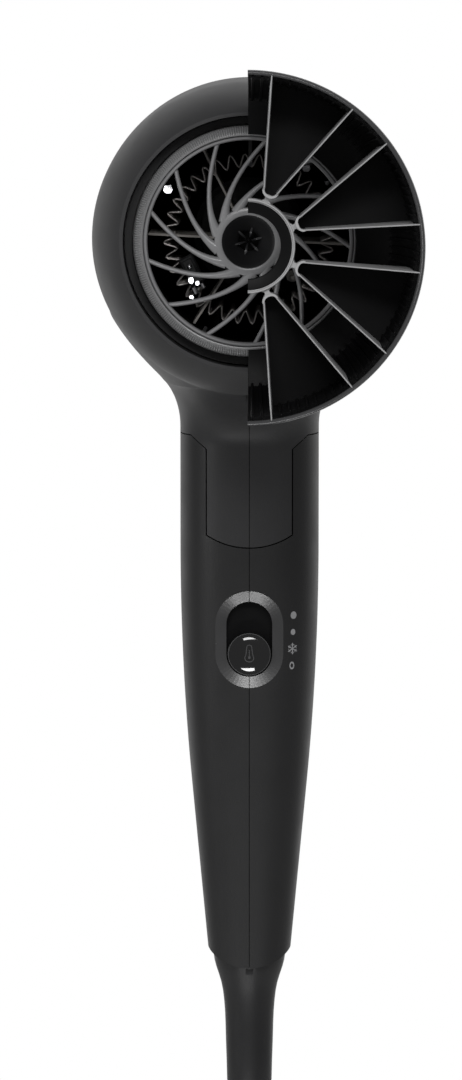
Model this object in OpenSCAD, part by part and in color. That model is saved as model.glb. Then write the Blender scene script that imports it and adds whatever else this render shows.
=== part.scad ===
// Hair dryer with a bell diffuser, as an assembly of its real pieces.
// Millimetres. +Z runs up the handle, the nozzle faces -Y, and the origin is the middle of the grip.

/* [Barrel] */
// Largest outside diameter of the barrel
barrel_d = 92.4; // [90:0.2:95]
// Outside diameter where the nose begins
shoulder_d = 89.2; // [87:0.2:90]
// Bore of the barrel's front lip
lip_bore_d = 70.6; // [70:0.1:71.5]
// Distance from the handle's centre line to the front lip
front_len = 100; // [98:1:104]
// Distance from the handle's centre line to the shell's rear edge
rear_len = 62; // [60:1:66]
// Height of the barrel's axis above the middle of the grip
axis_h = 140; // [139:0.5:142]
// Wall thickness of the plastic shells
wall = 2.2; // [2:0.1:2.4]

/* [Handle] */
// Width of the handle at its top
handle_w = 42; // [41:0.5:44]
// Width of the handle at its lower end
handle_end_w = 24.5; // [24:0.5:27]
// Front to back depth of the handle at its top
handle_d = 44; // [43:0.5:46]
// Radius of the fillet between handle and barrel, seen from the front
neck_r = 31; // [29:1:33]
// Width of the head shell's tongue that runs down the handle
tongue_w = 25.8; // [24:0.2:27]

/* [Switch] */
// Travel of the slide switch
slide_travel = 9; // [7:0.5:9]
// Diameter of the round button
button_d = 13.2; // [12.6:0.1:13.3]

/* [Outlet grille] */
// Number of swirling arms
arms = 13; // [9:1:15]
// Width of an arm
arm_w = 1.8; // [1.4:0.1:2]
// Outside diameter of the grille's hub
hub_d = 20; // [18:0.5:22]

/* [Diffuser] */
// Outside diameter of the diffuser's rim
rim_d = 96.2; // [95:0.2:100]
// Distance from the barrel's lip to the rim
bell_len = 48; // [46:1:50]
// Number of closed petals in a whole turn
petals = 8; // [8:1:8]
// Share of the turn that the diffuser covers: half as a section, or whole
diffuser_sweep = 180; // [180:180:360]

/* [Fan and motor] */
// Number of impeller blades
blades = 11; // [7:2:13]
// Number of stator vanes
vanes = 7; // [5:2:9]
// Diameter of the motor's shaft
shaft_d = 2.4; // [2:0.1:2.4]

/* [Cord] */
// Diameter of the mains cord
cord_d = 7; // [6.6:0.1:7]
// Turns in the inner layer of the coil
inner_turns = 4; // [4:1:4]
// Radius of the inner layer, to the cord's middle
coil_r = 35; // [34:0.5:36]
// Diameter of the plug's pins
pin_d = 4.8; // [4:0.8:4.8]
// Distance between the plug's pins
pin_gap = 19; // [19:1:19]

/* [Hidden] */
$fn = 64;
barrel_r = barrel_d / 2;
shoulder_r = shoulder_d / 2;
lip_r = lip_bore_d / 2;
nose_len = 28;
shoulder_f = front_len - nose_len;
ring_r = lip_r - 2.8;
duct_r = ring_r - 2.05;
grille_r = ring_r - 2.9;
seat_f = front_len - 12.9;

handle_end = -80;
end_sag = 4;
end_arc_r = 18.2;
shell_top = 79;
taper_z = 45;
knee_z = -28;
taper_k = (handle_w - handle_end_w) / 2
    / (pow(taper_z - knee_z, 2) + 2 * (taper_z - knee_z) * (knee_z - handle_end));
neck_depth_r = 20;
neck_z = 76;
neck_run = 50;
neck_rise = 22;
flank_r = 47.6;
flank_z = axis_h - flank_r * sin(45);
loft_top = axis_h - 14;
sides = 48;
roundness = 2.6;

pad_y = -16.9;
opening_r = button_d / 2 + 0.3;
button_z = 13.3;
recess_edge = 3.3;
slider_half = 8.2;
rail_w = 1.7;

tongue_low = 45.5;
tongue_side = 49.2;
seam = 0.2;

bell_f = front_len + 1;
rim_r = rim_d / 2;
rim_f = front_len + bell_len;
bell_wall = 1.6;
petal_tip = 14.6;
petal_tip_half = 1.9;
petal_wall = 1;
hub_ring_r = 13;
hub_ring_wall = 1.1;
hub_plate_bore = 9;
hub_plate_t = 1.2;
dish_f = front_len + 30.5;
floor_f = front_len + 22;

screw_places = [[9, 60], [10, -22], [8, -62]];
boss_r = 3.4;
screw_head_r = 2.6;

can_r = 14.5;
can_wall = 0.9;
bearing_r = 3.5;
magnet_t = 2.3;
rotor_r = 10.6;
fan_hub_r = 16.4;
fan_tip_r = 35.3;
fan_duct_r = 36;
fan_rear = -27;
guard_rear = -46;
guard_t = 3;
cap_rings = [8, 16, 24];

carriage_t = 1.5;
spring_r = 3.6;
board_y = 3.4;
board_t = 1.6;
cord_hole_r = 5.4;

turn_gap = 7.2;
coil_z = -200;
relief_end = -142;
cord_route = [[0, 0, -130], [0, 0, -145], [0, 0, -160], [0, 0, -175], [0, 0, -182]];
tail_route = [[7.2, -7.2, -212], [7.2, -7.2, -218], [7.2, -7.2, -224], [7.2, -7.2, -230]];
plug_x = 7.2;
plug_y = -7.2;
plug_top = -230;
plug_face = -286;

rubber = [0.05, 0.05, 0.055];
shell_grey = [0.17, 0.17, 0.175];
grip_grey = [0.11, 0.11, 0.115];
dark = [0.07, 0.07, 0.075];
steel = [0.7, 0.7, 0.72];
mica = [0.78, 0.74, 0.66];

// ---- shared shapes ----

// Barrel pieces are drawn with their axis on +Z, which this turns to face the nozzle's way.
module barrel() {
    translate([0, 0, axis_h]) rotate([90, 0, 0]) children();
}

module ring(outer, inner, from, to) {
    translate([0, 0, from]) difference() {
        cylinder(r = outer, h = to - from);
        translate([0, 0, -1]) cylinder(r = inner, h = to - from + 2);
    }
}

// A slot-shaped prism through the handle's front: width 2r, its round ends at z = low and z = high.
module obround(r, low, high, from, to) {
    for (z = [low, high])
        translate([0, from, z]) rotate([-90, 0, 0]) cylinder(r = r, h = to - from);
    translate([-r, from, low]) cube([2 * r, to - from, high - low]);
}

function signed_power(v, p) = sign(v) * pow(abs(v), p);

// One level of the handle and neck: a rounded oval, w to each side, front towards the nozzle
// and back behind.
function oval(w, front, back, z) = [for (i = [0 : sides - 1])
    let (y = signed_power(sin(360 * i / sides), 2 / roundness))
    [w * signed_power(cos(360 * i / sides), 2 / roundness), y < 0 ? front * y : back * y, z]];

function grip_half(z) =
    z > taper_z ? handle_w / 2
    : z >= knee_z ? handle_w / 2 - taper_k * pow(taper_z - z, 2)
    : grip_half(knee_z) - 2 * taper_k * (taper_z - knee_z) * (knee_z - z);

function fillet(r, rise) = r - sqrt(r * r - rise * rise);

function half_width(z) =
    z <= shell_top ? grip_half(z)
    : z <= shell_top + neck_r * sin(45) ? handle_w / 2 + fillet(neck_r, z - shell_top)
    : z <= flank_z ? flank_r * sin(45) + z - flank_z
    : sqrt(pow(flank_r - 1.5 * (z - flank_z) / (loft_top - flank_z), 2) - pow(axis_h - z, 2));

function half_depth(z) =
    z <= shell_top ? handle_d / handle_w * grip_half(z)
    : z <= shell_top + neck_depth_r * sin(45) ? handle_d / 2 + fillet(neck_depth_r, z - shell_top)
    : handle_d / 2 + fillet(neck_depth_r, neck_depth_r * sin(45))
        + min(z - shell_top - neck_depth_r * sin(45), 14);

// The neck sweeps forward under the barrel, along a quarter of an ellipse.
function half_front(z) =
    z <= neck_z ? half_depth(z)
    : let (u = min((z - neck_z) / neck_rise, 0.97))
        handle_d / 2 + neck_run * (1 - sqrt(1 - u * u));

// A solid through ovals at the given heights, each drawn in by inset.
module loft(heights, inset) {
    rings = len(heights);
    points = [for (z = heights)
        each oval(half_width(z) - inset, half_front(z) - inset, half_depth(z) - inset, z)];
    quads = [for (k = [0 : rings - 2], i = [0 : sides - 1])
        [k * sides + i, k * sides + (i + 1) % sides,
         (k + 1) * sides + (i + 1) % sides, (k + 1) * sides + i]];
    triangles = [for (q = quads) each [[q[0], q[2], q[1]], [q[0], q[3], q[2]]]];
    low = [for (i = [0 : sides - 1]) i];
    high = [for (i = [sides - 1 : -1 : 0]) (rings - 1) * sides + i];
    polyhedron(points, concat(triangles, [low, high]));
}

// The outline of the barrel, from the rear edge to the lip, as [radius, distance forward].
function swell(f) = f > 0
    ? barrel_r - (barrel_r - shoulder_r) * pow(f / shoulder_f, 2)
    : barrel_r - 2 * pow(f / rear_len, 2);

nose_a = (shoulder_r - lip_r - 1) / (1 - sin(30));
nose_b = nose_len / cos(30);

barrel_outline = concat(
    [for (k = [0 : 8]) let (f = -rear_len + k * (rear_len + shoulder_f) / 8) [swell(f), f]],
    [for (a = [80 : -10 : 30])
        [shoulder_r - nose_a * (1 - sin(a)), shoulder_f + nose_b * cos(a)]]);

barrel_inline = [for (k = [0 : 8])
    let (f = -rear_len - 1 + k * (rear_len + shoulder_f + 1) / 8) [swell(f) - wall, f]];

module barrel_outer() {
    barrel() rotate_extrude() polygon(concat([[0, -rear_len]], barrel_outline,
        [[lip_r, front_len], [0, front_len]]));
}

module barrel_inner() {
    barrel() rotate_extrude() polygon(concat([[0, -rear_len - 1]], barrel_inline,
        [[ring_r + 6.1, seat_f], [lip_r, seat_f], [lip_r, front_len + 1], [0, front_len + 1]]));
}

handle_levels = [-84.5, -72, -60, -44, -28, -10, 8, 26, 45, 62, 79];
neck_levels = [84, 88, 92, 96, 101, 106, 112, 119, 126];

module outside() {
    loft(concat(handle_levels, neck_levels), 0);
}

module inside() {
    loft(concat([-74, -60, -44, -28, -10, 8, 26, 45, 62, 79], neck_levels), wall);
}

// Everything that belongs to the head shell: above the seam, and the tongue down the front.
module head_zone(gap) {
    translate([-60, -120, shell_top + gap]) cube([120, 240, 140]);
    half = tongue_w / 2 - gap;
    arc_r = (pow(tongue_w / 2, 2) + pow(tongue_side - tongue_low, 2))
        / (2 * (tongue_side - tongue_low));
    difference() {
        translate([0, -10, 0]) rotate([90, 0, 0]) linear_extrude(30)
            polygon([[-half, tongue_low], [half, tongue_low], [half, shell_top - 4],
                [half + 6.5, shell_top + 1], [-half - 6.5, shell_top + 1], [-half, shell_top - 4]]);
        translate([0, 0, tongue_low + arc_r]) rotate([90, 0, 0])
            difference() {
                translate([-20, -arc_r - 5, 0]) cube([40, 12, 60]);
                cylinder(r = arc_r - gap, h = 60, $fn = 96);
            }
    }
}

// The handle's lower end bulges down in the middle, like the side of a cylinder.
module end_trim(r) {
    translate([0, 30, handle_end - end_sag + end_arc_r]) rotate([90, 0, 0])
        difference() {
            translate([-20, -end_arc_r - 10, 0]) cube([40, 20, 60]);
            translate([0, 0, -1]) cylinder(r = r, h = 62);
        }
}

module half_space(side) {
    translate([side > 0 ? 0.05 : -80.05, -160, -120]) cube([80, 320, 360]);
}

// ---- shells ----

module head_shell(side) {
    color(shell_grey) intersection() {
        difference() {
            union() {
                barrel_outer();
                outside();
            }
            barrel_inner();
            inside();
        }
        head_zone(0);
        half_space(side);
    }
}

module screw_bosses(side) {
    for (p = screw_places)
        translate([side > 0 ? 0.05 : -22, p[0], p[1]]) rotate([0, 90, 0])
            cylinder(r = boss_r, h = 21.95, $fn = 32);
}

// Left shell takes the screws' threads; right shell has the through holes and head pockets.
module screw_holes(side) {
    for (p = screw_places)
        translate([0, p[0], p[1]]) rotate([0, side > 0 ? 90 : -90, 0]) {
            translate([0, 0, -1]) cylinder(r = side > 0 ? 1.6 : 1.25, h = side > 0 ? 40 : 9, $fn = 24);
            if (side > 0)
                translate([0, 0, 6]) cylinder(r = screw_head_r + 0.3, h = 40, $fn = 32);
        }
}

module front_pad() {
    translate([-11.5, -20.5, -8]) cube([23, pad_y + 20.5, 54]);
    for (x = [-slider_half - 0.2 - rail_w, slider_half + 0.2])
        translate([x, pad_y - 0.5, -8]) cube([rail_w, 3.4, 54]);
}

module handle_shell(side) {
    color(grip_grey) difference() {
        intersection() {
            union() {
                difference() {
                    outside();
                    inside();
                }
                intersection() {
                    loft(handle_levels, wall / 2);
                    union() {
                        screw_bosses(side);
                        front_pad();
                    }
                }
            }
            half_space(side);
            translate([-60, -60, -100]) cube([120, 120, 100 + shell_top]);
        }
        head_zone(-seam);
        end_trim(end_arc_r);
        screw_holes(side);
        obround(opening_r + recess_edge, button_z - 0.1, button_z + slide_travel + 0.1, -30, -18.9);
        obround(opening_r, button_z - 0.1, button_z + slide_travel + 0.1, -30, -10);
        translate([0, 0, -90]) cylinder(r = cord_hole_r, h = 20);
    }
}

module head_shell_left() { head_shell(-1); }
module head_shell_right() { head_shell(1); }
module handle_shell_left() { handle_shell(-1); }
module handle_shell_right() { handle_shell(1); }

module shell_screws() {
    color(steel) for (p = screw_places)
        translate([0, p[0], p[1]]) rotate([0, 90, 0]) difference() {
            union() {
                translate([0, 0, -7]) cylinder(r = 1.2, h = 13.1, $fn = 24);
                translate([0, 0, 6.05]) cylinder(r = screw_head_r, h = 1.9, $fn = 32);
            }
            for (a = [0, 90])
                rotate([0, 0, a]) translate([-0.3, -1.5, 7.1]) cube([0.6, 3, 2]);
        }
}

// ---- air outlet ----

module outlet_ring() {
    color(dark) barrel() rotate_extrude() polygon([
        [duct_r, seat_f - 3.3], [ring_r + 5.7, seat_f - 3.3], [ring_r + 5.7, seat_f - 0.1],
        [ring_r, seat_f - 0.1], [ring_r, front_len - 3.6], [ring_r - 0.4, front_len - 2.2],
        [grille_r + 0.7, front_len - 1.1], [grille_r + 0.1, front_len - 1.4],
        [grille_r + 0.1, front_len - 7], [duct_r, front_len - 7]]);
}

// An arm leaves the rim at the angle start and swirls in to the hub.
function swirl(start, r) = let (l = ln(grille_r / r)) start + 38 * l + 9.5 * l * l;
function lean(r) = atan((38 + 19 * ln(grille_r / r)) * PI / 180);
function arm_side(start, side) = [for (k = [0 : 9])
    let (r = grille_r - 0.3 - k * (grille_r - hub_d / 2) / 9)
    let (half = side * arm_w / 2 / cos(lean(r)) / r * 180 / PI)
    let (a = 90 + swirl(start, r) + half)
    [r * cos(a), r * sin(a)]];

module outlet_grille() {
    color(dark) barrel() difference() {
        union() {
            ring(grille_r, grille_r - 1, front_len - 5.4, front_len - 2);
            ring(hub_d / 2, 2.7, front_len - 9, front_len - 1);
            for (k = [0 : arms - 1])
                let (start = 16.5 + k * 360 / arms)
                translate([0, 0, front_len - 5]) linear_extrude(2.8)
                    polygon(concat(arm_side(start, 1),
                        [for (i = [9 : -1 : 0]) arm_side(start, -1)[i]]));
        }
        translate([0, 0, front_len - 8]) cylinder(r1 = 2.7, r2 = 7.8, h = 7.4);
        translate([0, 0, front_len - 0.61]) cylinder(r = 7.8, h = 2);
    }
}

module ion_emitter() {
    color(steel) barrel() {
        translate([0, 0, front_len - 18]) cylinder(r = 5.5, h = 8.8);
        for (a = [10 : 120 : 250])
            rotate([0, 0, a]) translate([1, 0, front_len - 9.3])
                cylinder(r = 0.5, h = 4.3, $fn = 16);
    }
}

// ---- heater ----

module heater_sleeve() {
    color(mica) barrel() ring(duct_r - 0.05, duct_r - 0.55, front_len - 64, front_len - 7.5);
}

module heater_mica() {
    color(mica) barrel() for (a = [27, 87, 147])
        rotate([0, 0, a]) translate([-0.3, -grille_r + 0.9, front_len - 56])
            cube([0.6, 2 * grille_r - 1.8, 36]);
}

module heater_wires() {
    color(steel) barrel() for (k = [0 : 5])
        translate([0, 0, front_len - 52 + 6 * k])
            rotate_extrude() translate([23, 0]) circle(r = 0.5, $fn = 16);
}

module thermostat() {
    color(steel) barrel() translate([-16.2, -8.6, front_len - 17.9]) rotate([0, 0, 27]) {
        translate([-2.2, -4.2, -2]) cube([4.4, 8.4, 6]);
        translate([0, 0, 3.9]) cylinder(r = 1.4, h = 1.4, $fn = 24);
    }
}

module thermal_fuse() {
    color(steel) barrel() translate([12.5, -11, front_len - 42]) {
        cylinder(r = 1.7, h = 10, $fn = 24);
        translate([0, 0, 9.9]) cylinder(r = 0.5, h = 11, $fn = 16);
    }
}

// ---- fan and motor ----

module fan_housing() {
    color(dark) barrel() difference() {
        union() {
            rotate_extrude() polygon([[fan_duct_r, -38], [43, -38], [43, -40], [fan_duct_r, -40]]);
            rotate_extrude() polygon([[fan_duct_r, -39], [fan_duct_r + 2, -39], [fan_duct_r + 2, 22],
                [duct_r + 1.9, 34], [duct_r + 1.9, 42], [duct_r + 0.1, 42], [duct_r + 0.1, 34],
                [fan_duct_r, 22]]);
            ring(fan_hub_r, can_r + 0.1, -2, 26);
            for (k = [0 : vanes - 1])
                rotate([0, 0, k * 360 / vanes]) translate([15.6, 0, 11]) rotate([22, 0, 0])
                    translate([0, -0.7, -9]) cube([20.8, 1.4, 18]);
        }
        translate([0, 0, -3]) cylinder(r = can_r + 0.1, h = 40);
    }
}

module motor_can() {
    color(steel) barrel() difference() {
        translate([0, 0, -8]) cylinder(r = can_r, h = 30);
        translate([0, 0, -9]) cylinder(r = can_r - can_wall, h = 29.4);
        translate([0, 0, 10]) cylinder(r = bearing_r + 0.05, h = 20);
    }
}

module motor_end_cap() {
    color(dark) barrel() difference() {
        translate([0, 0, -10]) cylinder(r = can_r - 0.1, h = 1.95);
        translate([0, 0, -12]) cylinder(r = bearing_r + 0.05, h = 6);
    }
}

module motor_magnets() {
    color([0.25, 0.25, 0.27]) barrel() for (a = [20, 200])
        rotate([0, 0, a]) rotate_extrude(angle = 140)
            translate([can_r - can_wall - 0.1 - magnet_t, -4]) square([magnet_t, 20]);
}

module motor_bearings() {
    color([0.75, 0.6, 0.3]) barrel() {
        ring(bearing_r, shaft_d / 2 + 0.05, -11, -8.2);
        ring(bearing_r, shaft_d / 2 + 0.05, 19, 22.4);
    }
}

module motor_shaft() {
    color(steel) barrel() translate([0, 0, -28]) cylinder(r = shaft_d / 2, h = 53);
}

module armature() {
    color([0.5, 0.3, 0.2]) barrel() difference() {
        translate([0, 0, -3]) cylinder(r = rotor_r, h = 18);
        translate([0, 0, -4]) cylinder(r = shaft_d / 2 + 0.02, h = 20);
        for (a = [0 : 72 : 288])
            rotate([0, 0, a]) translate([4.5, -1.2, -4]) cube([8, 2.4, 20]);
    }
}

module commutator() {
    color([0.75, 0.45, 0.3]) barrel() ring(3.2, shaft_d / 2 + 0.02, -7, -3.1);
}

module fan_impeller() {
    color(dark) barrel() difference() {
        union() {
            ring(fan_hub_r, fan_hub_r - 1.2, fan_rear, -4);
            translate([0, 0, fan_rear]) cylinder(r = fan_hub_r - 0.4, h = 1.8);
            translate([0, 0, fan_rear + 1]) cylinder(r = 3.4, h = 9);
            intersection() {
                ring(fan_tip_r, fan_hub_r - 0.6, fan_rear, -8);
                for (k = [0 : blades - 1])
                    rotate([0, 0, k * 360 / blades]) translate([15, 0, -17]) rotate([-38, 0, 0])
                        translate([0, -0.6, -9]) cube([24, 1.2, 18]);
            }
        }
        translate([0, 0, -30]) cylinder(r = shaft_d / 2 + 0.02, h = 20);
        translate([0, 0, fan_rear + 1.8]) difference() {
            cylinder(r = fan_hub_r - 1.2, h = 30);
            cylinder(r = 3.4, h = 30);
        }
    }
}

// ---- air inlet ----

module inlet_guard() {
    color(dark) barrel() {
        ring(41.6, 38.5, guard_rear, guard_rear + guard_t);
        ring(22, 20, guard_rear, guard_rear + guard_t);
        translate([0, 0, guard_rear]) cylinder(r = 5, h = guard_t);
        for (a = [0 : 60 : 300])
            rotate([0, 0, a]) translate([4, -0.8, guard_rear]) cube([35, 1.6, guard_t]);
    }
}

cap_front = -rear_len - 0.3;

module filter_cap() {
    color(dark) barrel() {
        rotate_extrude() polygon([
            [39.6, -54], [41.5, -54], [41.5, cap_front], [swell(-rear_len), cap_front],
            [43.7, -74], [41.8, -83], [38.5, -88.6], [36.4, -90], [34, -90],
            [34, -88], [36.6, -87], [39.9, -82], [41.4, -74], [41, -66], [39.6, -63]]);
        for (r = cap_rings)
            ring(r + 1.4, r, -89.8, -88.3);
        translate([0, 0, -89.8]) cylinder(r = 3, h = 1.5);
        for (a = [0 : 30 : 330])
            rotate([0, 0, a]) translate([2, -0.7, -89.6]) cube([32.9, 1.4, 1.2]);
    }
}

module filter_mesh() {
    color(steel) barrel() translate([0, 0, -81.6]) cylinder(r = 39.6, h = 0.8);
}

// ---- switch, board and cord entry ----

module slider_carriage() {
    color(dark) difference() {
        union() {
            translate([-slider_half, pad_y + 0.1, -4]) cube([2 * slider_half, carriage_t, 35]);
            translate([-2.5, -15.4, 20]) cube([5, 7.4, 4]);
        }
        translate([0, -20, button_z]) rotate([-90, 0, 0]) cylinder(r = 2.1, h = 8, $fn = 32);
    }
}

module power_button() {
    color([0.04, 0.04, 0.045]) translate([0, -18.4, button_z]) rotate([90, 0, 0]) {
        difference() {
            cylinder(r = button_d / 2, h = 2.2);
            translate([0, 0, 22]) sphere(r = 20.2, $fn = 96);
        }
        translate([0, 0, -4.1]) cylinder(r = 2, h = 4.2, $fn = 32);
        translate([0, 0, -4.1]) cylinder(r = 3, h = 0.95, $fn = 32);
    }
}

module button_spring() {
    color(steel) for (y = [-18.1, -17.6, -17.1])
        translate([0, y, button_z]) rotate([90, 0, 0])
            rotate_extrude($fn = 32) translate([spring_r, 0]) circle(r = 0.22, $fn = 16);
}

module switch_module() {
    color([0.1, 0.1, 0.11]) difference() {
        translate([-8.5, -15.2, -6]) cube([17, 17.2, 50]);
        translate([-3.6, -16, 7]) cube([7.2, 10, 28]);
    }
}

module control_board() {
    color([0.1, 0.3, 0.15]) translate([-10, board_y, -46]) cube([20, board_t, 62]);
}

module board_parts() {
    color([0.2, 0.2, 0.5]) {
        translate([0, board_y, -16]) rotate([90, 0, 0]) cylinder(r = 4.5, h = 11, $fn = 32);
        translate([-7.5, -4, -40]) cube([6, board_y + 4, 12]);
        translate([2, -2, -40]) cube([5, board_y + 2, 9]);
        translate([4, board_y, -26]) rotate([90, 0, 0]) cylinder(r = 2.5, h = 6, $fn = 24);
    }
}

module supply_lead() {
    color(rubber) {
        translate([0, 0, -69.9]) cylinder(r = 3.2, h = 21.9, $fn = 32);
        for (x = [-1.6, 1.6])
            translate([x, 0, -48.5]) cylinder(r = 1.1, h = 7.5, $fn = 16);
    }
}

module cord_clamp() {
    color(dark) difference() {
        translate([-8.5, -6.5, -58]) cube([17, 9.5, 6]);
        translate([0, 0, -60]) cylinder(r = 3.3, h = 10, $fn = 32);
    }
}

module strain_relief() {
    color(rubber) difference() {
        rotate_extrude() polygon(concat(
            [[0, -70], [8, -70], [8, -73.8], [5.2, -73.8], [5.2, -79], [11.5, -79],
             [10.5, -84], [8.8, -90], [7.8, -96], [7.4, -103], [7.1, -112], [6.8, -120]],
            [for (k = [0 : 3]) each [[6.7 - 0.3 * k, -123 - 4.5 * k], [5.6 - 0.2 * k, -123.4 - 4.5 * k],
                [5.6 - 0.2 * k, -124.8 - 4.5 * k], [6.6 - 0.3 * k, -125.2 - 4.5 * k]]],
            [[5.2, relief_end], [0, relief_end]]));
        difference() {
            end_arc_solid(end_arc_r + 0.2);
            translate([0, 0, -90]) cylinder(r = 5.2, h = 30);
            translate([0, 0, -73.8]) cylinder(r = 9, h = 30);
        }
        translate([0, 0, relief_end - 1]) cylinder(r = cord_d / 2 + 0.1, h = 13.2);
    }
}

module end_arc_solid(r) {
    translate([0, 30, handle_end - end_sag + end_arc_r]) rotate([90, 0, 0])
        cylinder(r = r, h = 60);
}

// ---- cord ----

// A tube of the cord's diameter through the middle points of a route that runs along -Z.
module tube(route) {
    n = 12;
    points = [for (p = route, i = [0 : n - 1])
        [p[0] + cord_d / 2 * cos(360 * i / n), p[1] + cord_d / 2 * sin(360 * i / n), p[2]]];
    skin = [for (k = [0 : len(route) - 2], i = [0 : n - 1]) each [
        [k * n + i, k * n + (i + 1) % n, (k + 1) * n + (i + 1) % n],
        [k * n + i, (k + 1) * n + (i + 1) % n, (k + 1) * n + i]]];
    first = [for (i = [n - 1 : -1 : 0]) i];
    last = [for (i = [0 : n - 1]) (len(route) - 1) * n + i];
    polyhedron(points, concat(skin, [first, last]));
}

module cord_tube() { color(rubber) tube(cord_route); }
module cord_tail() { color(rubber) tube(tail_route); }

// The coil hangs in the plane of the handle, its axis along X and its turns side by side.
module around_coil() {
    translate([0, coil_r, coil_z]) rotate([0, 90, 0]) children();
}

coil_in = coil_r - cord_d / 2 - 0.1;
coil_out = coil_r + turn_gap + cord_d / 2 + 0.1;
coil_low = -cord_d / 2 - 0.1;
coil_high = inner_turns * turn_gap + cord_d / 2 + 0.1;

module cord_coil() {
    color(rubber) around_coil() ring(coil_out, coil_in, coil_low, coil_high);
}

module coil_tie() {
    color(dark) around_coil() rotate([0, 0, 262]) rotate_extrude(angle = 16) difference() {
        translate([coil_in - 1.6, coil_low - 1.4])
            square([coil_out - coil_in + 3.4, coil_high - coil_low + 2.8]);
        translate([coil_in - 0.4, coil_low - 0.2])
            square([coil_out - coil_in + 1, coil_high - coil_low + 0.4]);
    }
}

module plug_body() {
    color(rubber) translate([plug_x, plug_y, 0]) {
        translate([0, 0, plug_top - 16]) cylinder(r1 = 5.6, r2 = 4.6, h = 16);
        hull() {
            translate([0, 0, plug_top - 18]) cylinder(r = 6.5, h = 2.1, $fn = 32);
            for (x = [-7, 7])
                translate([x, 0, plug_face]) cylinder(r = 11, h = 26, $fn = 32);
        }
    }
}

module plug_pins() {
    color(steel) for (x = [-pin_gap / 2, pin_gap / 2])
        translate([plug_x + x, plug_y, plug_face - 19]) {
            cylinder(r = pin_d / 2, h = 19, $fn = 32);
        }
}

// ---- diffuser ----

module snap_ring() {
    color(dark) barrel() ring(lip_r - 0.4, ring_r + 0.4, seat_f + 1, seat_f + 5);
}

// The sweep starts at the bottom of the barrel and runs up its right side.
module swept() {
    rotate([0, 0, -90]) rotate_extrude(angle = diffuser_sweep) children();
}

flare_r = lip_r + 2;
mouth_r = rim_r - 1.5;
flare_len = bell_len - 9;
function bell(a, inset) = [flare_r + (mouth_r - flare_r) * sin(a) - inset,
    bell_f + flare_len * (1 - cos(a))];

module diffuser_bell() {
    color(dark) barrel() swept() polygon(concat(
        [[lip_r - 0.4, seat_f + 5.2], [lip_r - 0.4, bell_f], [flare_r, bell_f]],
        [for (a = [15 : 15 : 90]) bell(a, 0)],
        [[rim_r, rim_f - 3], [rim_r, rim_f], [rim_r - bell_wall, rim_f],
         [mouth_r - bell_wall, rim_f - 6]],
        [for (a = [75 : -15 : 15]) bell(a, bell_wall) + [0, 1]],
        [[ring_r + 2.2, bell_f + 1.8], [ring_r + 0.4, bell_f], [ring_r + 0.4, seat_f + 5.2]]));
}

// One petal's outline, pointing along +X: a closed wedge from the hub to the bell.
module wedge(inset) {
    tip_w = petal_tip_half - inset;
    end_w = rim_r * sin(14.8) + 0.3 - inset;
    polygon([[petal_tip + 1 + inset, -tip_w - 0.2], [rim_r, -end_w], [rim_r, end_w],
        [petal_tip + 1 + inset, tip_w + 0.2], [petal_tip + inset, tip_w * 0.6],
        [petal_tip + inset, -tip_w * 0.6]]);
}

module dish() {
    rotate_extrude() polygon([[0, dish_f - 1], [petal_tip - 1, dish_f], [rim_r + 2, rim_f],
        [rim_r + 2, rim_f + 10], [0, rim_f + 10]]);
}

module bell_room() {
    rotate_extrude() polygon(concat([[0, bell_f + 3]],
        [for (a = [30 : 15 : 75]) bell(a, bell_wall + 0.2) + [0, 1.3]],
        [[mouth_r - bell_wall - 0.2, rim_f - 5.8], [rim_r - bell_wall - 0.2, rim_f], [0, rim_f]]));
}

module petal() {
    intersection() {
        difference() {
            union() {
                translate([0, 0, floor_f]) linear_extrude(rim_f - floor_f) wedge(0);
                translate([hub_ring_r + 0.05, -0.9, floor_f + 2]) cube([3, 1.8, dish_f - floor_f - 2]);
            }
            translate([0, 0, floor_f + 1.2]) linear_extrude(60) wedge(petal_wall);
            dish();
        }
        bell_room();
    }
}

module diffuser_petals() {
    step = 360 / petals;
    color([0.12, 0.12, 0.13]) barrel()
        for (k = [0 : floor(diffuser_sweep / step) - 1])
            rotate([0, 0, -90 + step * (k + 0.5)]) petal();
}

module diffuser_hub_ring() {
    color([0.14, 0.14, 0.15]) barrel() swept()
        union() {
            translate([hub_ring_r - hub_ring_wall, floor_f]) square([hub_ring_wall, dish_f - floor_f]);
            translate([hub_plate_bore, dish_f - 0.7 - hub_plate_t])
                square([hub_ring_r - hub_ring_wall / 2 - hub_plate_bore, hub_plate_t]);
        }
}

head_shell_left();
head_shell_right();
handle_shell_left();
handle_shell_right();
outlet_ring();
outlet_grille();
ion_emitter();
heater_sleeve();
heater_mica();
heater_wires();
thermostat();
thermal_fuse();
fan_housing();
motor_can();
motor_end_cap();
motor_magnets();
motor_bearings();
motor_shaft();
armature();
commutator();
fan_impeller();
inlet_guard();
filter_cap();
filter_mesh();
switch_module();
slider_carriage();
power_button();
button_spring();
control_board();
board_parts();
supply_lead();
cord_clamp();
shell_screws();
strain_relief();
cord_tube();
cord_coil();
cord_tail();
coil_tie();
plug_body();
plug_pins();
snap_ring();
diffuser_bell();
diffuser_petals();
diffuser_hub_ring();
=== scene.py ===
# Hair dryer with a bell diffuser: skins, materials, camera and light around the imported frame.
# Metres, in the CAD's frame. Lengths that the design gives in millimetres are written with MM.
import math
from itertools import product

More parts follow.
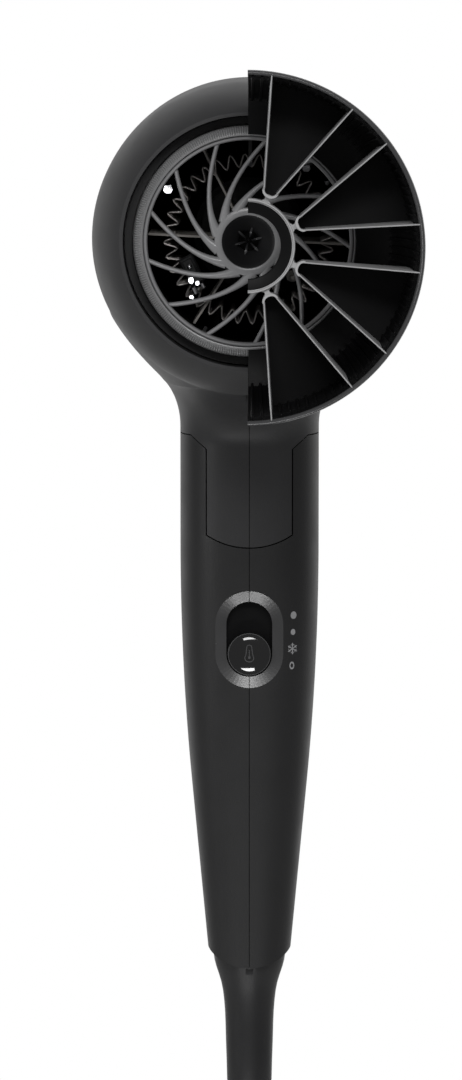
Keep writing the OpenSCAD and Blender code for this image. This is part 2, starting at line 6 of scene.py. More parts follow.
import bmesh
import bpy
import numpy as np
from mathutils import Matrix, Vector


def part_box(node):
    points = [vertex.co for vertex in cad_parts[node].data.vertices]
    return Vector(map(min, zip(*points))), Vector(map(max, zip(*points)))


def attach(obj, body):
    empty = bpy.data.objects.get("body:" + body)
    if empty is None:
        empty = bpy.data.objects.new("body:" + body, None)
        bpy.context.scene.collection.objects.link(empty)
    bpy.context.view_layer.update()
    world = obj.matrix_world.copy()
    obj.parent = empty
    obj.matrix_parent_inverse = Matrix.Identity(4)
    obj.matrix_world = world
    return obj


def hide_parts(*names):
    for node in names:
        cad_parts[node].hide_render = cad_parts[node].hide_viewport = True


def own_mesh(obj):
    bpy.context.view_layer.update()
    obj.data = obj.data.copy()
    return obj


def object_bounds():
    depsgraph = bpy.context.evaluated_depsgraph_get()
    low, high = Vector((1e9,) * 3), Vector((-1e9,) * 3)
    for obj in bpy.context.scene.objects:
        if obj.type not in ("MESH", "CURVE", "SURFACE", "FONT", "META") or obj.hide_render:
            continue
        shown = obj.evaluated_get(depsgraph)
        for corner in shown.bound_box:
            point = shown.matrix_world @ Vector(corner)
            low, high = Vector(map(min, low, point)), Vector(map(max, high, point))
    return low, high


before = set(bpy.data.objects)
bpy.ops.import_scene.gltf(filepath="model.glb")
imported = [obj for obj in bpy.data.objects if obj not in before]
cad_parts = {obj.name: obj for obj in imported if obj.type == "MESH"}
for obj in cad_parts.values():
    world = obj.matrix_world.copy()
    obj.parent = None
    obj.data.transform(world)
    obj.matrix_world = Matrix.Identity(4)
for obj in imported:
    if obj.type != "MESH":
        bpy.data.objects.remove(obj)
cad_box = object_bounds()
scene = bpy.context.scene
MM = 0.001

# ---- sizes that the design shares with the CAD frame ----

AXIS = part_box("motor_shaft")[0].lerp(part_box("motor_shaft")[1], 0.5).z / MM  # barrel axis height
LIP_F = 100.0      # front lip of the barrel, forward of the handle's centre line
REAR_F = -62.0     # rear edge of the head shell
BARREL_R = 45.8
SHOULDER_R = 44.9
SHOULDER_F = 72.0
LIP_R = 35.3
RING_R = 32.5
GRILLE_R = 29.6
HUB_R = 10.0
WALL = 2.2

GRIP_W = 21.0
GRIP_END_W = 12.55
GRIP_D = 22.0
GRIP_ROUND = 2.6
SHELL_TOP = 79.0
GRIP_END = -80.0
END_SAG = 4.0
END_ARC_R = 18.2
TAPER_Z = 45.0
KNEE_Z = -28.0
NECK_Z = 76.0
FLARE_Z = 80.9
FLARE_R = 24.4
NECK_DEPTH_R = 20.0
NECK_RUN = 54.0
NECK_RISE = 20.5
NECK_TOP = 134.0

RIM_R = 48.1
RIM_F = 148.0
BELL_F = 101.0

CORD_R = 3.5
FAR = 300.0        # past everything


# ---- camera ----

def add_object(name, data):
    """A new object in the scene."""
    obj = bpy.data.objects.new(name, data)
    scene.collection.objects.link(obj)
    return obj


def aim(obj, place, target):
    """Puts a camera or a light in its place, facing its target."""
    obj.location = place
    obj.rotation_mode = "QUATERNION"
    obj.rotation_quaternion = (Vector(target) - Vector(place)).to_track_quat("-Z", "Y")


DISTANCE = 1.4     # metres from the handle's centre line to the camera
FRAMED = 0.3284    # metres of height that the picture spans at that distance


def make_camera():
    """Level with the barrel's top and tipped down to frame the handle."""
    data = bpy.data.cameras.new("camera")
    camera = add_object("camera", data)
    place = Vector((0.0053, -DISTANCE, (AXIS + 49.4) * MM))
    target = Vector((-0.00565, 0.0, (AXIS - 94.3) * MM))
    aim(camera, place, target)
    data.sensor_width = 36.0
    data.lens = 36.0 * (target - place).length / FRAMED
    data.clip_start, data.clip_end = 0.05, 20.0
    scene.camera = camera


# ---- mesh helpers ----

def add_piece(name, points, faces, material=None, body=None, slot=None):
    """A new mesh from points in millimetres, riding on a body."""
    mesh = bpy.data.meshes.new(name)
    points = np.asarray(points, float) * MM
    mesh.from_pydata(points.tolist(), [], [[int(k) for k in f] for f in faces])
    mesh.update()
    obj = add_object(name, mesh)
    if material is not None:
        mesh.materials.append(material)
    mesh.polygons.foreach_set("use_smooth", [True] * len(mesh.polygons))
    if body is not None:
        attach(obj, body)
    return obj


def finish_mesh(obj, degrees=35):
    """Outward normals, and sharp edges where faces meet at more than this angle."""
    limit = math.radians(degrees)
    bm = bmesh.new()
    bm.from_mesh(obj.data)
    bmesh.ops.remove_doubles(bm, verts=bm.verts, dist=1e-6)
    bmesh.ops.recalc_face_normals(bm, faces=bm.faces)
    for edge in bm.edges:
        edge.smooth = len(edge.link_faces) == 2 and edge.calc_face_angle(0.0) < limit
    bm.to_mesh(obj.data)
    bm.free()
    return obj


def grid_faces(rows, cols, wrap_rows=False, wrap_cols=False):
    """Quads of a grid of points, rows by cols."""
    faces = []
    for i in range(rows if wrap_rows else rows - 1):
        for j in range(cols if wrap_cols else cols - 1):
            a, b = i * cols + j, i * cols + (j + 1) % cols
            c, d = (i + 1) % rows * cols + (j + 1) % cols, (i + 1) % rows * cols + j
            faces.append((a, b, c, d))
    return faces


def facing(height):
    """Places (x, up, forward) points about an axis along Y at this height, in the row frame."""
    def place(points):
        p = np.asarray(points, float)
        return np.stack([p[..., 0], -p[..., 2], p[..., 1] + height], -1)
    return place


def polar(angle):
    """The directions outward and across at an angle in radians."""
    out = np.array([math.cos(angle), math.sin(angle)])
    return out, np.array([-out[1], out[0]])


def circle(count):
    """Evenly spaced angles round a whole turn."""
    return np.linspace(0, 2 * math.pi, count, endpoint=False)


def upright(x, y):
    """Places (east, north, z) points about a vertical axis at (x, y)."""
    def place(points):
        return np.asarray(points, float) + (x, y, 0)
    return place


forward = facing(AXIS)


class Shape:
    """Collects the closed parts of one piece before they become its mesh."""

    def __init__(self):
        self.points = []
        self.faces = []

    def add(self, points, faces):
        base = len(self.points)
        self.points += np.asarray(points, float).reshape(-1, 3).tolist()
        self.faces += [[base + k for k in face] for face in faces]

    def loft(self, rings, closed=False):
        """A skin through rings of equally many points, capped at both ends unless closed."""
        rings = np.asarray(rings, float)
        rows, cols = rings.shape[:2]
        faces = grid_faces(rows, cols, wrap_rows=closed, wrap_cols=True)
        if not closed:
            faces += [list(range(cols)), [(rows - 1) * cols + k for k in reversed(range(cols))]]
        self.add(rings, faces)

    def turn(self, profile, place=forward, steps=96, start=0.0, sweep=360.0):
        """A closed outline of (radius, along) points turned about an axis."""
        count = steps if sweep >= 360 else steps + 1
        angles = np.radians(start + sweep * np.arange(count) / steps)
        rings = [[(r * math.cos(a), r * math.sin(a), f) for r, f in profile] for a in angles]
        self.loft(place(rings), closed=sweep >= 360)

    def bar(self, angle, sections):
        """A solid that lies along a radius of the barrel, through sections of (out, across, forward)."""
        out, side = polar(angle)
        self.loft(forward([[(*(out * r + side * u), f) for r, u, f in section] for section in sections]))

    def box(self, low, high):
        corners = list(product(*zip(low, high)))
        self.add(corners, [(0, 1, 3, 2), (4, 6, 7, 5), (0, 4, 5, 1), (2, 3, 7, 6), (0, 2, 6, 4),
                           (1, 5, 7, 3)])

    def piece(self, name, material, body, slot, sharp=35):
        obj = add_piece(name, self.points, self.faces, material, body, slot)
        return finish_mesh(obj, sharp)

    def cutter(self):
        return finish_mesh(add_piece("cutter", self.points, self.faces))


def add_curve(name, lines, radius, material, body, resolution=0, closed=False, caps=False):
    """Round wire along lines of points in millimetres, with or without caps on its ends."""
    data = bpy.data.curves.new(name, "CURVE")
    data.dimensions = "3D"
    data.bevel_depth = radius * MM
    data.bevel_resolution = resolution
    data.use_fill_caps = caps
    for line in lines:
        spline = data.splines.new("POLY")
        spline.points.add(len(line) - 1)
        spline.use_cyclic_u = closed
        for point, place in zip(spline.points, line):
            point.co = (*(c * MM for c in place), 1)
    data.materials.append(material)
    obj = add_object(name, data)
    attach(obj, body)
    return obj


def cylinder_along(axis, centre, radius, low, high, steps=64):
    """A plain capped cylinder, used only to cut other meshes."""
    ring = [centre + polar(a)[0] * radius for a in circle(steps)]
    shape = Shape()
    shape.loft([np.insert(ring, axis, end, axis=1) for end in (low, high)])
    return shape.cutter()


def block(low, high):
    """A box from corner to corner, used only to cut."""
    shape = Shape()
    shape.box(low, high)
    return shape.cutter()


def between(axis, low, high):
    """Everything between two planes, used only to cut."""
    corners = np.full((2, 3), [[-FAR], [FAR]])
    corners[:, axis] = low, high
    return block(*corners)


def prism(outline, low, high):
    """An outline of (x, z) points carried along Y, used only to cut."""
    shape = Shape()
    shape.loft([[(x, y, z) for x, z in outline] for y in (low, high)])
    return shape.cutter()


def cut(obj, tool, operation="DIFFERENCE"):
    """Applies one Boolean at once, and drops the tool."""
    modifier = obj.modifiers.new("cut", "BOOLEAN")
    modifier.object = tool
    modifier.operation = operation
    modifier.solver = "MANIFOLD"
    graph = bpy.context.evaluated_depsgraph_get()
    graph.update()
    made = bpy.data.meshes.new_from_object(obj.evaluated_get(graph))
    obj.modifiers.clear()
    obj.data = made
    bpy.data.objects.remove(tool)
    return obj


def paint(obj, material):
    """Gives an object one material in place of any others."""
    obj.data.materials.clear()
    obj.data.materials.append(material)


def copy_of(obj, name):
    """A separate mesh like another one."""
    return add_object(name, obj.data.copy())


# ---- skins from distance fields ----

def smooth_min(a, b, k):
    """The lesser of two fields, rounded over where they differ by less than k."""
    h = np.maximum(k - np.abs(a - b), 0.0) / k
    return np.minimum(a, b) - h * h * k / 4


def gradient(field, p, step=0.05):
    """A field's slope at points, from differences over a small step."""
    g = np.empty_like(p)
    for axis in range(3):
        d = np.zeros(3)
        d[axis] = step
        g[:, axis] = (field(*(p + d).T) - field(*(p - d).T)) / (2 * step)
    return g


def surface_net(field, low, high, step, rounds=4):
    """Points and quads of a field's zero surface on a grid, then drawn onto the true surface."""
    axes = [np.arange(a, b + step, step) for a, b in zip(low, high)]
    v = field(*np.meshgrid(*axes, indexing="ij")).astype(np.float32)
    inside = v < 0
    cells = tuple(n - 1 for n in v.shape)
    total = np.zeros(cells + (3,), np.float32)
    count = np.zeros(cells, np.int8)
    edges = []
    for axis in range(3):
        va, vb = (np.delete(v, end, axis) for end in (-1, 0))
        where = np.argwhere((va < 0) != (vb < 0))
        t = (va / (va - vb + 1e-12))[tuple(where.T)]
        point = where.astype(np.float32)
        point[:, axis] += t
        others = [k for k in range(3) if k != axis]
        around = []
        for s0, s1 in ((0, 0), (1, 0), (1, 1), (0, 1)):
            cell = where.copy()
            cell[:, others[0]] -= s0
            cell[:, others[1]] -= s1
            ok = np.all((cell >= 0) & (cell < cells), 1)
            np.add.at(total, tuple(cell[ok].T), point[ok])
            np.add.at(count, tuple(cell[ok].T), 1)
            around.append((cell, ok))
        keep = np.logical_and.reduce([ok for _, ok in around])
        edges.append((axis, [c[keep] for c, _ in around], inside[tuple(where[keep].T)]))
    active = count > 0
    index = np.full(cells, -1, np.int64)
    index[active] = np.arange(int(active.sum()))
    p = total[active] / count[active][:, None] * step + np.array(low, np.float32)
    faces = []
    for axis, around, solid_first in edges:
        quads = np.stack([index[tuple(c.T)] for c in around], 1)
        flip = solid_first if axis != 1 else ~solid_first
        quads[~flip] = quads[~flip][:, ::-1]
        faces.append(quads)
    p = p.astype(float)
    for _ in range(rounds):
        g = gradient(field, p)
        p -= field(*p.T)[:, None] * g / np.maximum((g * g).sum(1), 1e-9)[:, None]
    return p, np.concatenate(faces)


def shade_by_field(obj, field, near=0.03):
    """Exact smooth normals on the faces that lie on a field's surface; the cut faces stay flat."""
    mesh = obj.data

    def read(items, name, width=1, kind=float):
        values = np.empty(len(items) * width, kind)
        items.foreach_get(name, values)
        return values.reshape(-1, width) if width > 1 else values

    co = read(mesh.vertices, "co", 3) / MM
    g = gradient(field, co)
    g /= np.maximum(np.linalg.norm(g, axis=1), 1e-9)[:, None]
    on = np.abs(field(*co.T)) < near
    vertex = read(mesh.loops, "vertex_index", kind=np.int32)
    sizes = read(mesh.polygons, "loop_total", kind=np.int32)
    flat = np.repeat(read(mesh.polygons, "normal", 3), sizes, axis=0)
    smooth = on[vertex] & ((g[vertex] * flat).sum(1) > 0.95)
    normals = np.where(smooth[:, None], g[vertex], flat)
    mesh.polygons.foreach_set("use_smooth", [True] * len(mesh.polygons))
    mesh.normals_split_custom_set(normals.tolist())
    return obj


def grip_half(z):
    """Half the handle's width, which narrows in a curve and then straight to its end."""
    span = TAPER_Z - KNEE_Z
    k = (GRIP_W - GRIP_END_W) / (span ** 2 + 2 * span * (KNEE_Z - GRIP_END))
    high = GRIP_W - k * np.clip(TAPER_Z - z, 0, span) ** 2
    return high - 2 * k * span * np.maximum(KNEE_Z - z, 0)


def fillet(r, rise):
    """How far a quarter round moves out, straight on at 45 degrees past its eighth."""
    eighth = r * math.sin(math.radians(45))
    rise = np.maximum(rise, 0)
    curved = r - np.sqrt(r * r - np.minimum(rise, eighth) ** 2)
    return curved + np.maximum(rise - eighth, 0)


def flare(z):
    """How far the neck spreads to each side: a fillet, a curve to meet the barrel, then back inside it."""
    eighth = FLARE_R * math.sin(math.radians(45))
    rise = np.clip(z - FLARE_Z, 0, eighth)
    spread = FLARE_R - np.sqrt(FLARE_R ** 2 - rise ** 2)
    span = 118.0 - FLARE_Z - eighth
    t = np.clip((z - FLARE_Z - eighth) / span, 0, 1.9)
    back = np.clip((z - 114.0) / 16.0, 0, 1)
    return spread + span * (t - 0.262 * t * t) - 8.0 * back * back * (3 - 2 * back)


def grip_field(x, y, z, inset=0.0):
    """About the distance to the handle and its neck, which flares to the sides and sweeps forward."""
    w = grip_half(z)
    depth = w * GRIP_D / GRIP_W
    rise = np.clip((z - NECK_Z) / NECK_RISE, 0, 0.97)
    front = depth + NECK_RUN * (1 - np.sqrt(1 - rise * rise))
    back = depth + np.minimum(fillet(NECK_DEPTH_R, z - NECK_Z), 20)
    w = w + flare(z) - inset
    d = np.where(y < 0, front, back) - inset
    rho = (np.abs(x / w) ** GRIP_ROUND + np.abs(y / d) ** GRIP_ROUND) ** (1 / GRIP_ROUND)
    far = np.hypot(x, y)
    return np.where(rho > 1e-6, (rho - 1) * far / np.maximum(rho, 1e-6), -w)


def barrel_radius(f):
    """The barrel's outer radius at a distance forward: a slow swell, then a rounded shoulder."""
    front = BARREL_R - (BARREL_R - SHOULDER_R) * (np.clip(f, 0, SHOULDER_F) / SHOULDER_F) ** 2
    back = 2.0 * (np.minimum(f, 0) / REAR_F) ** 2
    a_len = (SHOULDER_R - LIP_R - 1) / (1 - math.sin(math.radians(30)))
    b_len = (LIP_F - SHOULDER_F) / math.cos(math.radians(30))
    c = np.clip((f - SHOULDER_F) / b_len, 0, 0.999)
    return front - back - a_len * (1 - np.sqrt(1 - c * c))


def barrel_field(x, y, z, inset=0.0):
    """About the distance to the barrel's surface."""
    r = np.hypot(x, z - AXIS)
    d = r - barrel_radius(-y) + inset
    return np.where(-y > SHOULDER_F, d * 0.75, d)


def outside_field(x, y, z):
    """The casings' outside: the barrel and the handle, blended where they meet."""
    grip = np.maximum(grip_field(x, y, z), z - NECK_TOP)
    body = smooth_min(grip, barrel_field(x, y, z), 6.0)
    ends = np.maximum(-y - LIP_F - 3, y + REAR_F - 3)
    return np.maximum(np.maximum(body, ends), GRIP_END - 7 - z)


def inside_field(x, y, z):
    """The casings' hollow, one wall's thickness inside."""
    grip = np.maximum(grip_field(x, y, z, WALL), z - NECK_TOP)
    grip = np.maximum(grip, GRIP_END + 7 - z)
    barrel = np.maximum(barrel_field(x, y, z, WALL), -y - (LIP_F - 16))
    return np.maximum(smooth_min(grip, barrel, 4.0), y + REAR_F - 4)


# ---- casings ----

def tongue_outline(gap):
    """The head shell's tongue in front view, grown by gap, with its round lower end."""
    half = 12.9 + gap
    low, side = 45.5, 49.2
    arc_r = (12.9 ** 2 + (side - low) ** 2) / (2 * (side - low))
    arc = []
    for k in range(-12, 13):
        x = half * k / 12
        arc.append((x, low + arc_r - math.sqrt((arc_r + gap) ** 2 - x * x)))
    return arc + [(half, SHELL_TOP - 4), (half + 6.5, SHELL_TOP + 1.5), (-half - 6.5, SHELL_TOP + 1.5),
                  (-half, SHELL_TOP - 4)]


def obround(half, low, high, steps=24):
    """A slot-shaped outline of (x, z) points with round ends centred at low and high."""
    return [(sign * half * math.cos(a), middle + sign * half * math.sin(a))
            for sign, middle in ((1, high), (-1, low)) for a in np.linspace(0, math.pi, steps + 1)]


BUTTON_Z = 13.3
BUTTON_SEAT = 18.4  # from the handle's centre line forward to the button's base
SLIDE = 9.0
OPENING_HALF = 6.9
RECESS_EDGE = 3.3
RECESS_DEPTH = 1.15
DISH_R = 14.6      # radius of the button's hollow face
SPLIT = 0.1        # half the gap between the left and right shells
JOINT = 0.18       # half the gap between the head shell and the handle
LIP_DEPTH = 0.9    # how far the seam's lip lies below the surface
LIP_HALF = 0.8     # half the seam lip's width
SKIN_STEP = 1.25   # grid of the casings' outside, and of their inside
CORE_STEP = 2.5


def face_y(x, z):
    """The front surface of the handle, as a place along Y."""
    w = grip_half(np.asarray(z, float))
    d = w * GRIP_D / GRIP_W
    return -d * (1 - np.abs(x / w) ** GRIP_ROUND) ** (1 / GRIP_ROUND)


def recess_cutter():
    """A cutter with a sloped edge of even width that follows the handle's curved front."""
    inner, outer, over = (np.array(obround(OPENING_HALF + edge, BUTTON_Z, BUTTON_Z + SLIDE))
                          for edge in (0, RECESS_EDGE, 1.5 * RECESS_EDGE))
    y_in, y_out = face_y(*inner.T) + RECESS_DEPTH, face_y(*outer.T)
    levels = [(inner, np.full(len(inner), -9.0)), (inner, y_in), (outer, y_out),
              (over, y_out - 0.5 * (y_in - y_out)), (over, np.full(len(over), -30.0))]
    shape = Shape()
    shape.loft([np.insert(outline, 1, ys, axis=1) for outline, ys in levels])
    return shape.cutter()


def polish_recess(piece, material):
    """The sloped edge of the switch's recess has a smoother finish than the rest of the handle, and a lighter
    colour that is a painted highlight.
    """
    piece.data.materials.append(material)
    for face in piece.data.polygons:
        x, y, z = face.center / MM
        reach = math.hypot(x, z - min(max(z, BUTTON_Z), BUTTON_Z + SLIDE))
        sunk = y - float(face_y(x, z))
        if OPENING_HALF < reach < OPENING_HALF + RECESS_EDGE and 0.05 < sunk < RECESS_DEPTH:
            face.material_index = 1


def make_casings(materials):
    """The head shell with its tongue and the handle, each cut into a left and a right half."""
    # The grid reaches a little past the skin on every side.
    low = (-50, -LIP_F - 5, GRIP_END - 10)
    high = (50, -REAR_F + 5, AXIS + 50)
    step = SKIN_STEP
    skin = add_piece("skin", *surface_net(outside_field, low, high, step))
    core = add_piece("core", *surface_net(inside_field, low, high, CORE_STEP))
    cut(skin, core)
    cut(skin, between(1, -FAR, -LIP_F))
    cut(skin, between(1, -REAR_F, FAR))
    # The outlet's bore, with a wider pocket behind it for the outlet ring's flange.
    cut(skin, cylinder_along(1, (0, AXIS), LIP_R, -LIP_F - 9, -(LIP_F - 13), 192))
    cut(skin, cylinder_along(1, (0, AXIS), 39.0, -(LIP_F - 13), -(LIP_F - 20), 96))

    head = copy_of(skin, "head")
    cut(head, between(2, SHELL_TOP + JOINT, FAR), "INTERSECT")
    tongue = copy_of(skin, "tongue")
    cut(tongue, prism(tongue_outline(-JOINT), -60, -10), "INTERSECT")
    cut(head, tongue, "UNION")

    grip = skin
    cut(grip, between(2, -FAR, SHELL_TOP - JOINT), "INTERSECT")
    cut(grip, prism(tongue_outline(JOINT), -60, -10))
    # A thicker front wall where the switch slides, and its recess.
    cut(grip, block((-10.1, -BUTTON_SEAT, 1), (10.1, -16.9, 43)), "UNION")
    cut(grip, recess_cutter())
    # The handle's rounded end, the hole for the cord guard, and wells over the three screws.
    end = cylinder_along(1, (0, GRIP_END - END_SAG + END_ARC_R), END_ARC_R, -30, 30, 160)
    cut(end, block((-40, -40, GRIP_END - END_SAG + END_ARC_R - 6), (40, 40, 200)), "UNION")
    cut(grip, end, "INTERSECT")
    cut(grip, cylinder_along(2, (0, 0), 5.4, -95, -70))
    for y, z in ((9, 60), (10, -22), (8, -62)):
        cut(grip, cylinder_along(0, (y, z), 2.9, 6, 40, 40))

    for side, sign in (("left", -1), ("right", 1)):
        for kind, whole in (("head", head), ("handle", grip)):
            piece = copy_of(whole, f"casing_{kind}_{side}")
            cut(piece, between(0, *sorted((sign * SPLIT, sign * FAR))), "INTERSECT")
            shade_by_field(piece, outside_field)
            paint(piece, materials["shell" if kind == "head" else "grip"])
            if kind == "handle":
                polish_recess(piece, materials["bevel"])
            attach(piece, "body")
            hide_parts(f"{kind}_shell_{side}")
    make_seam_lip(head, grip, materials["deep"])
    for spare in (head, grip):
        bpy.data.objects.remove(spare)


def make_seam_lip(head, grip, material):
    """The lip inside the joint between the left and right halves, a little below the surface."""
    for kind, whole in (("head", head), ("handle", grip)):
        lip = copy_of(whole, f"{kind}_seam_lip")
        cut(lip, between(0, -LIP_HALF, LIP_HALF), "INTERSECT")
        for v in lip.data.vertices:
            p = np.array(v.co) / MM
            rise = float(outside_field(*p)) + LIP_DEPTH
            slope = gradient(outside_field, p[None])[0] * (0, 1, 1)
            size = float(np.linalg.norm(slope))
            if rise > 0 and size > 0.1:
                v.co = (p - slope / size * rise) * MM
        paint(lip, material)
        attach(lip, "body")


# ---- air outlet ----

def make_outlet_ring(material):
    """The ring round the outlet; its bevelled front edge is cut with fine teeth. Its light grey colour is a
    painted highlight.
    """
    teeth, tall = 300, 0.32
    profile = [(30.45, 83.8, 0), (38.2, 83.8, 0), (38.2, 87.0, 0), (RING_R, 87.0, 0), (RING_R, 96.6, 0),
               (32.35, 97.2, 0), (31.9, 97.6, 1), (30.9, 98.2, 1), (30.3, 98.6, 0), (30.0, 98.7, 0),
               (29.7, 98.6, 0), (29.7, 93.0, 0), (30.45, 93.0, 0)]
    rings = []
    for j, a in enumerate(circle(teeth * 4)):
        proud = (0.0, tall, tall, 0.0)[j % 4]
        rings.append([(*(polar(a)[0] * (r + proud * k * 0.6)), f + proud * k * 0.8) for r, f, k in profile])
    shape = Shape()
    shape.loft(forward(rings), closed=True)
    obj = shape.piece("outlet_trim", material, "body", "trim", 28)
    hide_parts("outlet_ring")


def swirl(start, r):
    """The angle of a grille arm at a distance from the axis, in degrees from straight up."""
    turn = math.log(GRILLE_R / r)
    return start + 38 * turn + 9.5 * turn * turn


def square_to(line):
    """Unit directions square to a line of 2-D points, at each point."""
    along = np.gradient(np.array(line, float), axis=0)
    along /= np.linalg.norm(along, axis=1)[:, None]
    return np.stack([-along[:, 1], along[:, 0]], 1)


def make_grille(materials):
    """Thirteen arms that swirl in from the rim and rise into a hub with a conical bore. Their light grey
    colour is a painted highlight.
    """
    shape = Shape()
    rim = GRILLE_R - 0.05
    shape.turn([(rim, 94.6), (rim, 97.7), (rim - 0.3, 98.0), (rim - 0.8, 98.0), (rim - 1.1, 97.6),
                (rim - 1.1, 94.6)], steps=160)
    shape.turn([(7.4, 91), (HUB_R - 0.6, 91), (HUB_R - 0.4, 91.4), (HUB_R - 0.4, 97.9),
                (HUB_R - 0.6, 98.4), (HUB_R - 1.1, 98.6), (7.9, 98.7), (7.5, 98.5), (7.4, 98)])
    stations = 18
    for k in range(13):
        start = 16.5 + k * 360 / 13
        line = []
        for i in range(stations + 1):
            r = GRILLE_R - 0.5 - i * (GRILLE_R - 0.5 - HUB_R + 1.3) / stations
            line.append(polar(math.radians(90 + swirl(start, r)))[0] * r)
        across = square_to(line)
        rings = []
        for i in range(stations + 1):
            s = i / stations
            half = 0.62 + 1.1 * s ** 6
            top = 97.4 + 1.2 * s ** 1.5
            section = [(-1, 95), (-1, top - 1.0), (-0.8, top - 0.4), (-0.4, top - 0.07), (0, top),
                       (0.4, top - 0.07), (0.8, top - 0.4), (1, top - 1.0), (1, 95)]
            rings.append([(*(line[i] + across[i] * u * half), f) for u, f in section])
        shape.loft(forward(rings))
    obj = shape.piece("grille", materials["grille"], "body", "trim", 40)
    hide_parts("outlet_grille")
    # The hub's conical bore is a separate piece in the dark inner plastic: painted shade inside the hub's
    # hole.
    bore = Shape()
    bore.turn([(2.9, 91), (7.38, 91), (7.38, 98.1), (7.1, 97.9), (6.4, 96.9), (4.6, 94.3), (3.2, 92.4),
               (2.9, 91.9)])
    bore.piece("hub_bore_painted_shade", materials["dark"], "body", "trim")


# ---- heater ----

WIRE_LEVELS = [48 + 6 * k for k in range(6)]


def make_heater(materials):
    """Three crossed mica sheets with notched edges, and the zigzag wires that run through them."""
    shape = Shape()
    edge = [(0, 44)]
    for level in WIRE_LEVELS:
        edge += [(28.6, level - 3 if level > 48 else 44), (28.6, level - 1.3), (20.2, level - 1.0),
                 (20.2, level + 1.0), (28.6, level + 1.3)]
    edge += [(28.6, 80), (0, 80)]
    for angle in range(117, 477, 60):
        shape.bar(math.radians(angle), [[(r, u, f) for r, f in edge] for u in (-0.3, 0.3)])
    obj = shape.piece("mica_sheets", materials["mica"], "body", "mica")
    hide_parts("heater_mica")

    waves, per_wave = 36, 8
    middle_r, swing, wire_r = 22.4, 1.9, 0.36
    lines = [[forward((*(polar(a)[0] * (middle_r + swing * math.sin(waves * a))), level))
              for a in circle(waves * per_wave)] for level in WIRE_LEVELS]
    wires = add_curve("zigzag_wires", lines, wire_r, materials["nichrome"], "body", 1, True)
    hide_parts("heater_wires")


def make_ion_emitter(materials):
    """A dark cup behind the hub's bore, with thin bright ribs and a needle in its mouth."""
    cup = Shape()
    cup.turn([(0.01, 82), (5.5, 82), (5.5, 90.4), (5.1, 90.8), (3.4, 90.8), (3.2, 90.4), (3.2, 85),
              (0.01, 85)])
    obj = cup.piece("ion_cup", materials["dark"], "body", "trim")
    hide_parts("ion_emitter")
    ribs = Shape()
    for angle in range(15, 375, 60):
        ribs.bar(math.radians(angle), [[(r, -w, 88), (r, -w, f), (r, w, f), (r, w, 88)] for r, w, f in (
            (0.9, 0.16, 91.6), (1.9, 0.26, 93.0), (3.0, 0.3, 93.5), (3.9, 0.2, 93.5))])
    ribs.turn([(0.01, 85), (0.45, 85), (0.45, 90), (0.2, 92), (0.01, 93)], steps=16)
    ribs.piece("ion_bracket", materials["trim"], "body", "trim")


def flag(shape, x, up, f, half_x, half_up, lean):
    """A small bright plate with its corners clipped; lean is how far it tips forward for each mm up."""
    outline = [(-1, -0.4), (-0.5, -1), (0.6, -1), (1, -0.2), (0.7, 1), (-0.8, 0.8)]
    rings = []
    for back in (0.35, 0):
        rings.append([(x + half_x * u, up + half_up * v, f + lean * half_up * v - back) for u, v in outline])
    shape.loft(forward(rings))


def make_clips(materials):
    """Dark straps that hold the heater's sleeve in the outlet ring, with bright bent tabs at their ends."""
    straps, tabs = Shape(), Shape()
    for angle, r, half_x, half_up in ((147.8, 27.0, 1.3, 1.2), (51, 26.0, 1.1, 0.9), (36, 27.4, 0.6, 0.6),
                                      (89, 21.7, 0.8, 0.9), (244, 27.9, 0.5, 0.5)):
        a = math.radians(angle)
        straps.bar(a, [[(k, -0.5, 84), (k, -0.5, 84.4), (k, 0.5, 84.4), (k, 0.5, 84)] for k in (29.8, r)])
        flag(tabs, *(polar(a)[0] * r), 85, half_x, half_up, 0.45)
    straps.piece("sleeve_straps", materials["black_steel"], "body", "steel", 60)
    tabs.piece("sleeve_tabs", materials["steel"], "body", "steel", 60)


def make_thermostat(materials):
    """A bimetal switch beside the wires: a dark case, a bright rivet and two folded terminals."""
    middle = np.array([-16.2, -8.6])
    across, along = polar(math.radians(27))

    def slab(shape, low, high, edge):
        """A block with a bevelled front, from (across, along, forward) corners."""
        rings = []
        for f, trim in ((low[2], 0), (high[2] - edge, 0), (high[2], edge)):
            u0, v0, u1, v1 = low[0] + trim, low[1] + trim, high[0] - trim, high[1] - trim
            rings.append([(*(middle + across * u + along * v), f)
                          for u, v in ((u0, v0), (u1, v0), (u1, v1), (u0, v1))])
        shape.loft(forward(rings))

    case, metal_parts = Shape(), Shape()
    slab(case, (-2.2, -4.2, 80.1), (2.2, 4.2, 85.4), 0.5)
    slab(case, (-1.5, -1.0, 85.3), (1.5, 3.4, 86.2), 0.3)
    obj = case.piece("thermostat_case", materials["dark"], "body", "component")
    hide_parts("thermostat")
    flag(metal_parts, -16.3, -11.4, 86.6, 0.7, 0.8, -0.25)
    flag(metal_parts, -14.5, -12.2, 86.2, 0.5, 0.6, -0.25)
    flag(metal_parts, -16.2, -16.2, 84.9, 0.6, 0.5, -0.25)
    slab(metal_parts, (-2.6, -7.0, 83.2), (-1.3, -4.3, 84.4), 0.4)
    slab(metal_parts, (0.4, -6.4, 83.2), (1.5, -4.3, 84.4), 0.4)
    metal_parts.turn([(0.01, 86.1), (0.8, 86.1), (0.75, 86.5), (0.45, 86.8), (0.01, 86.9)],
                     lambda p: forward(np.asarray(p, float) + (*(middle + along * 1.2), 0)), steps=20)
    metal_parts.piece("thermostat_contacts", materials["steel"], "body", "steel")


# ---- switch and printed marks ----

def dish(r):
    """How far the button's hollow face stands forward of its base, at a distance from its middle."""
    return 1.05 + DISH_R - math.sqrt(DISH_R ** 2 - r * r)


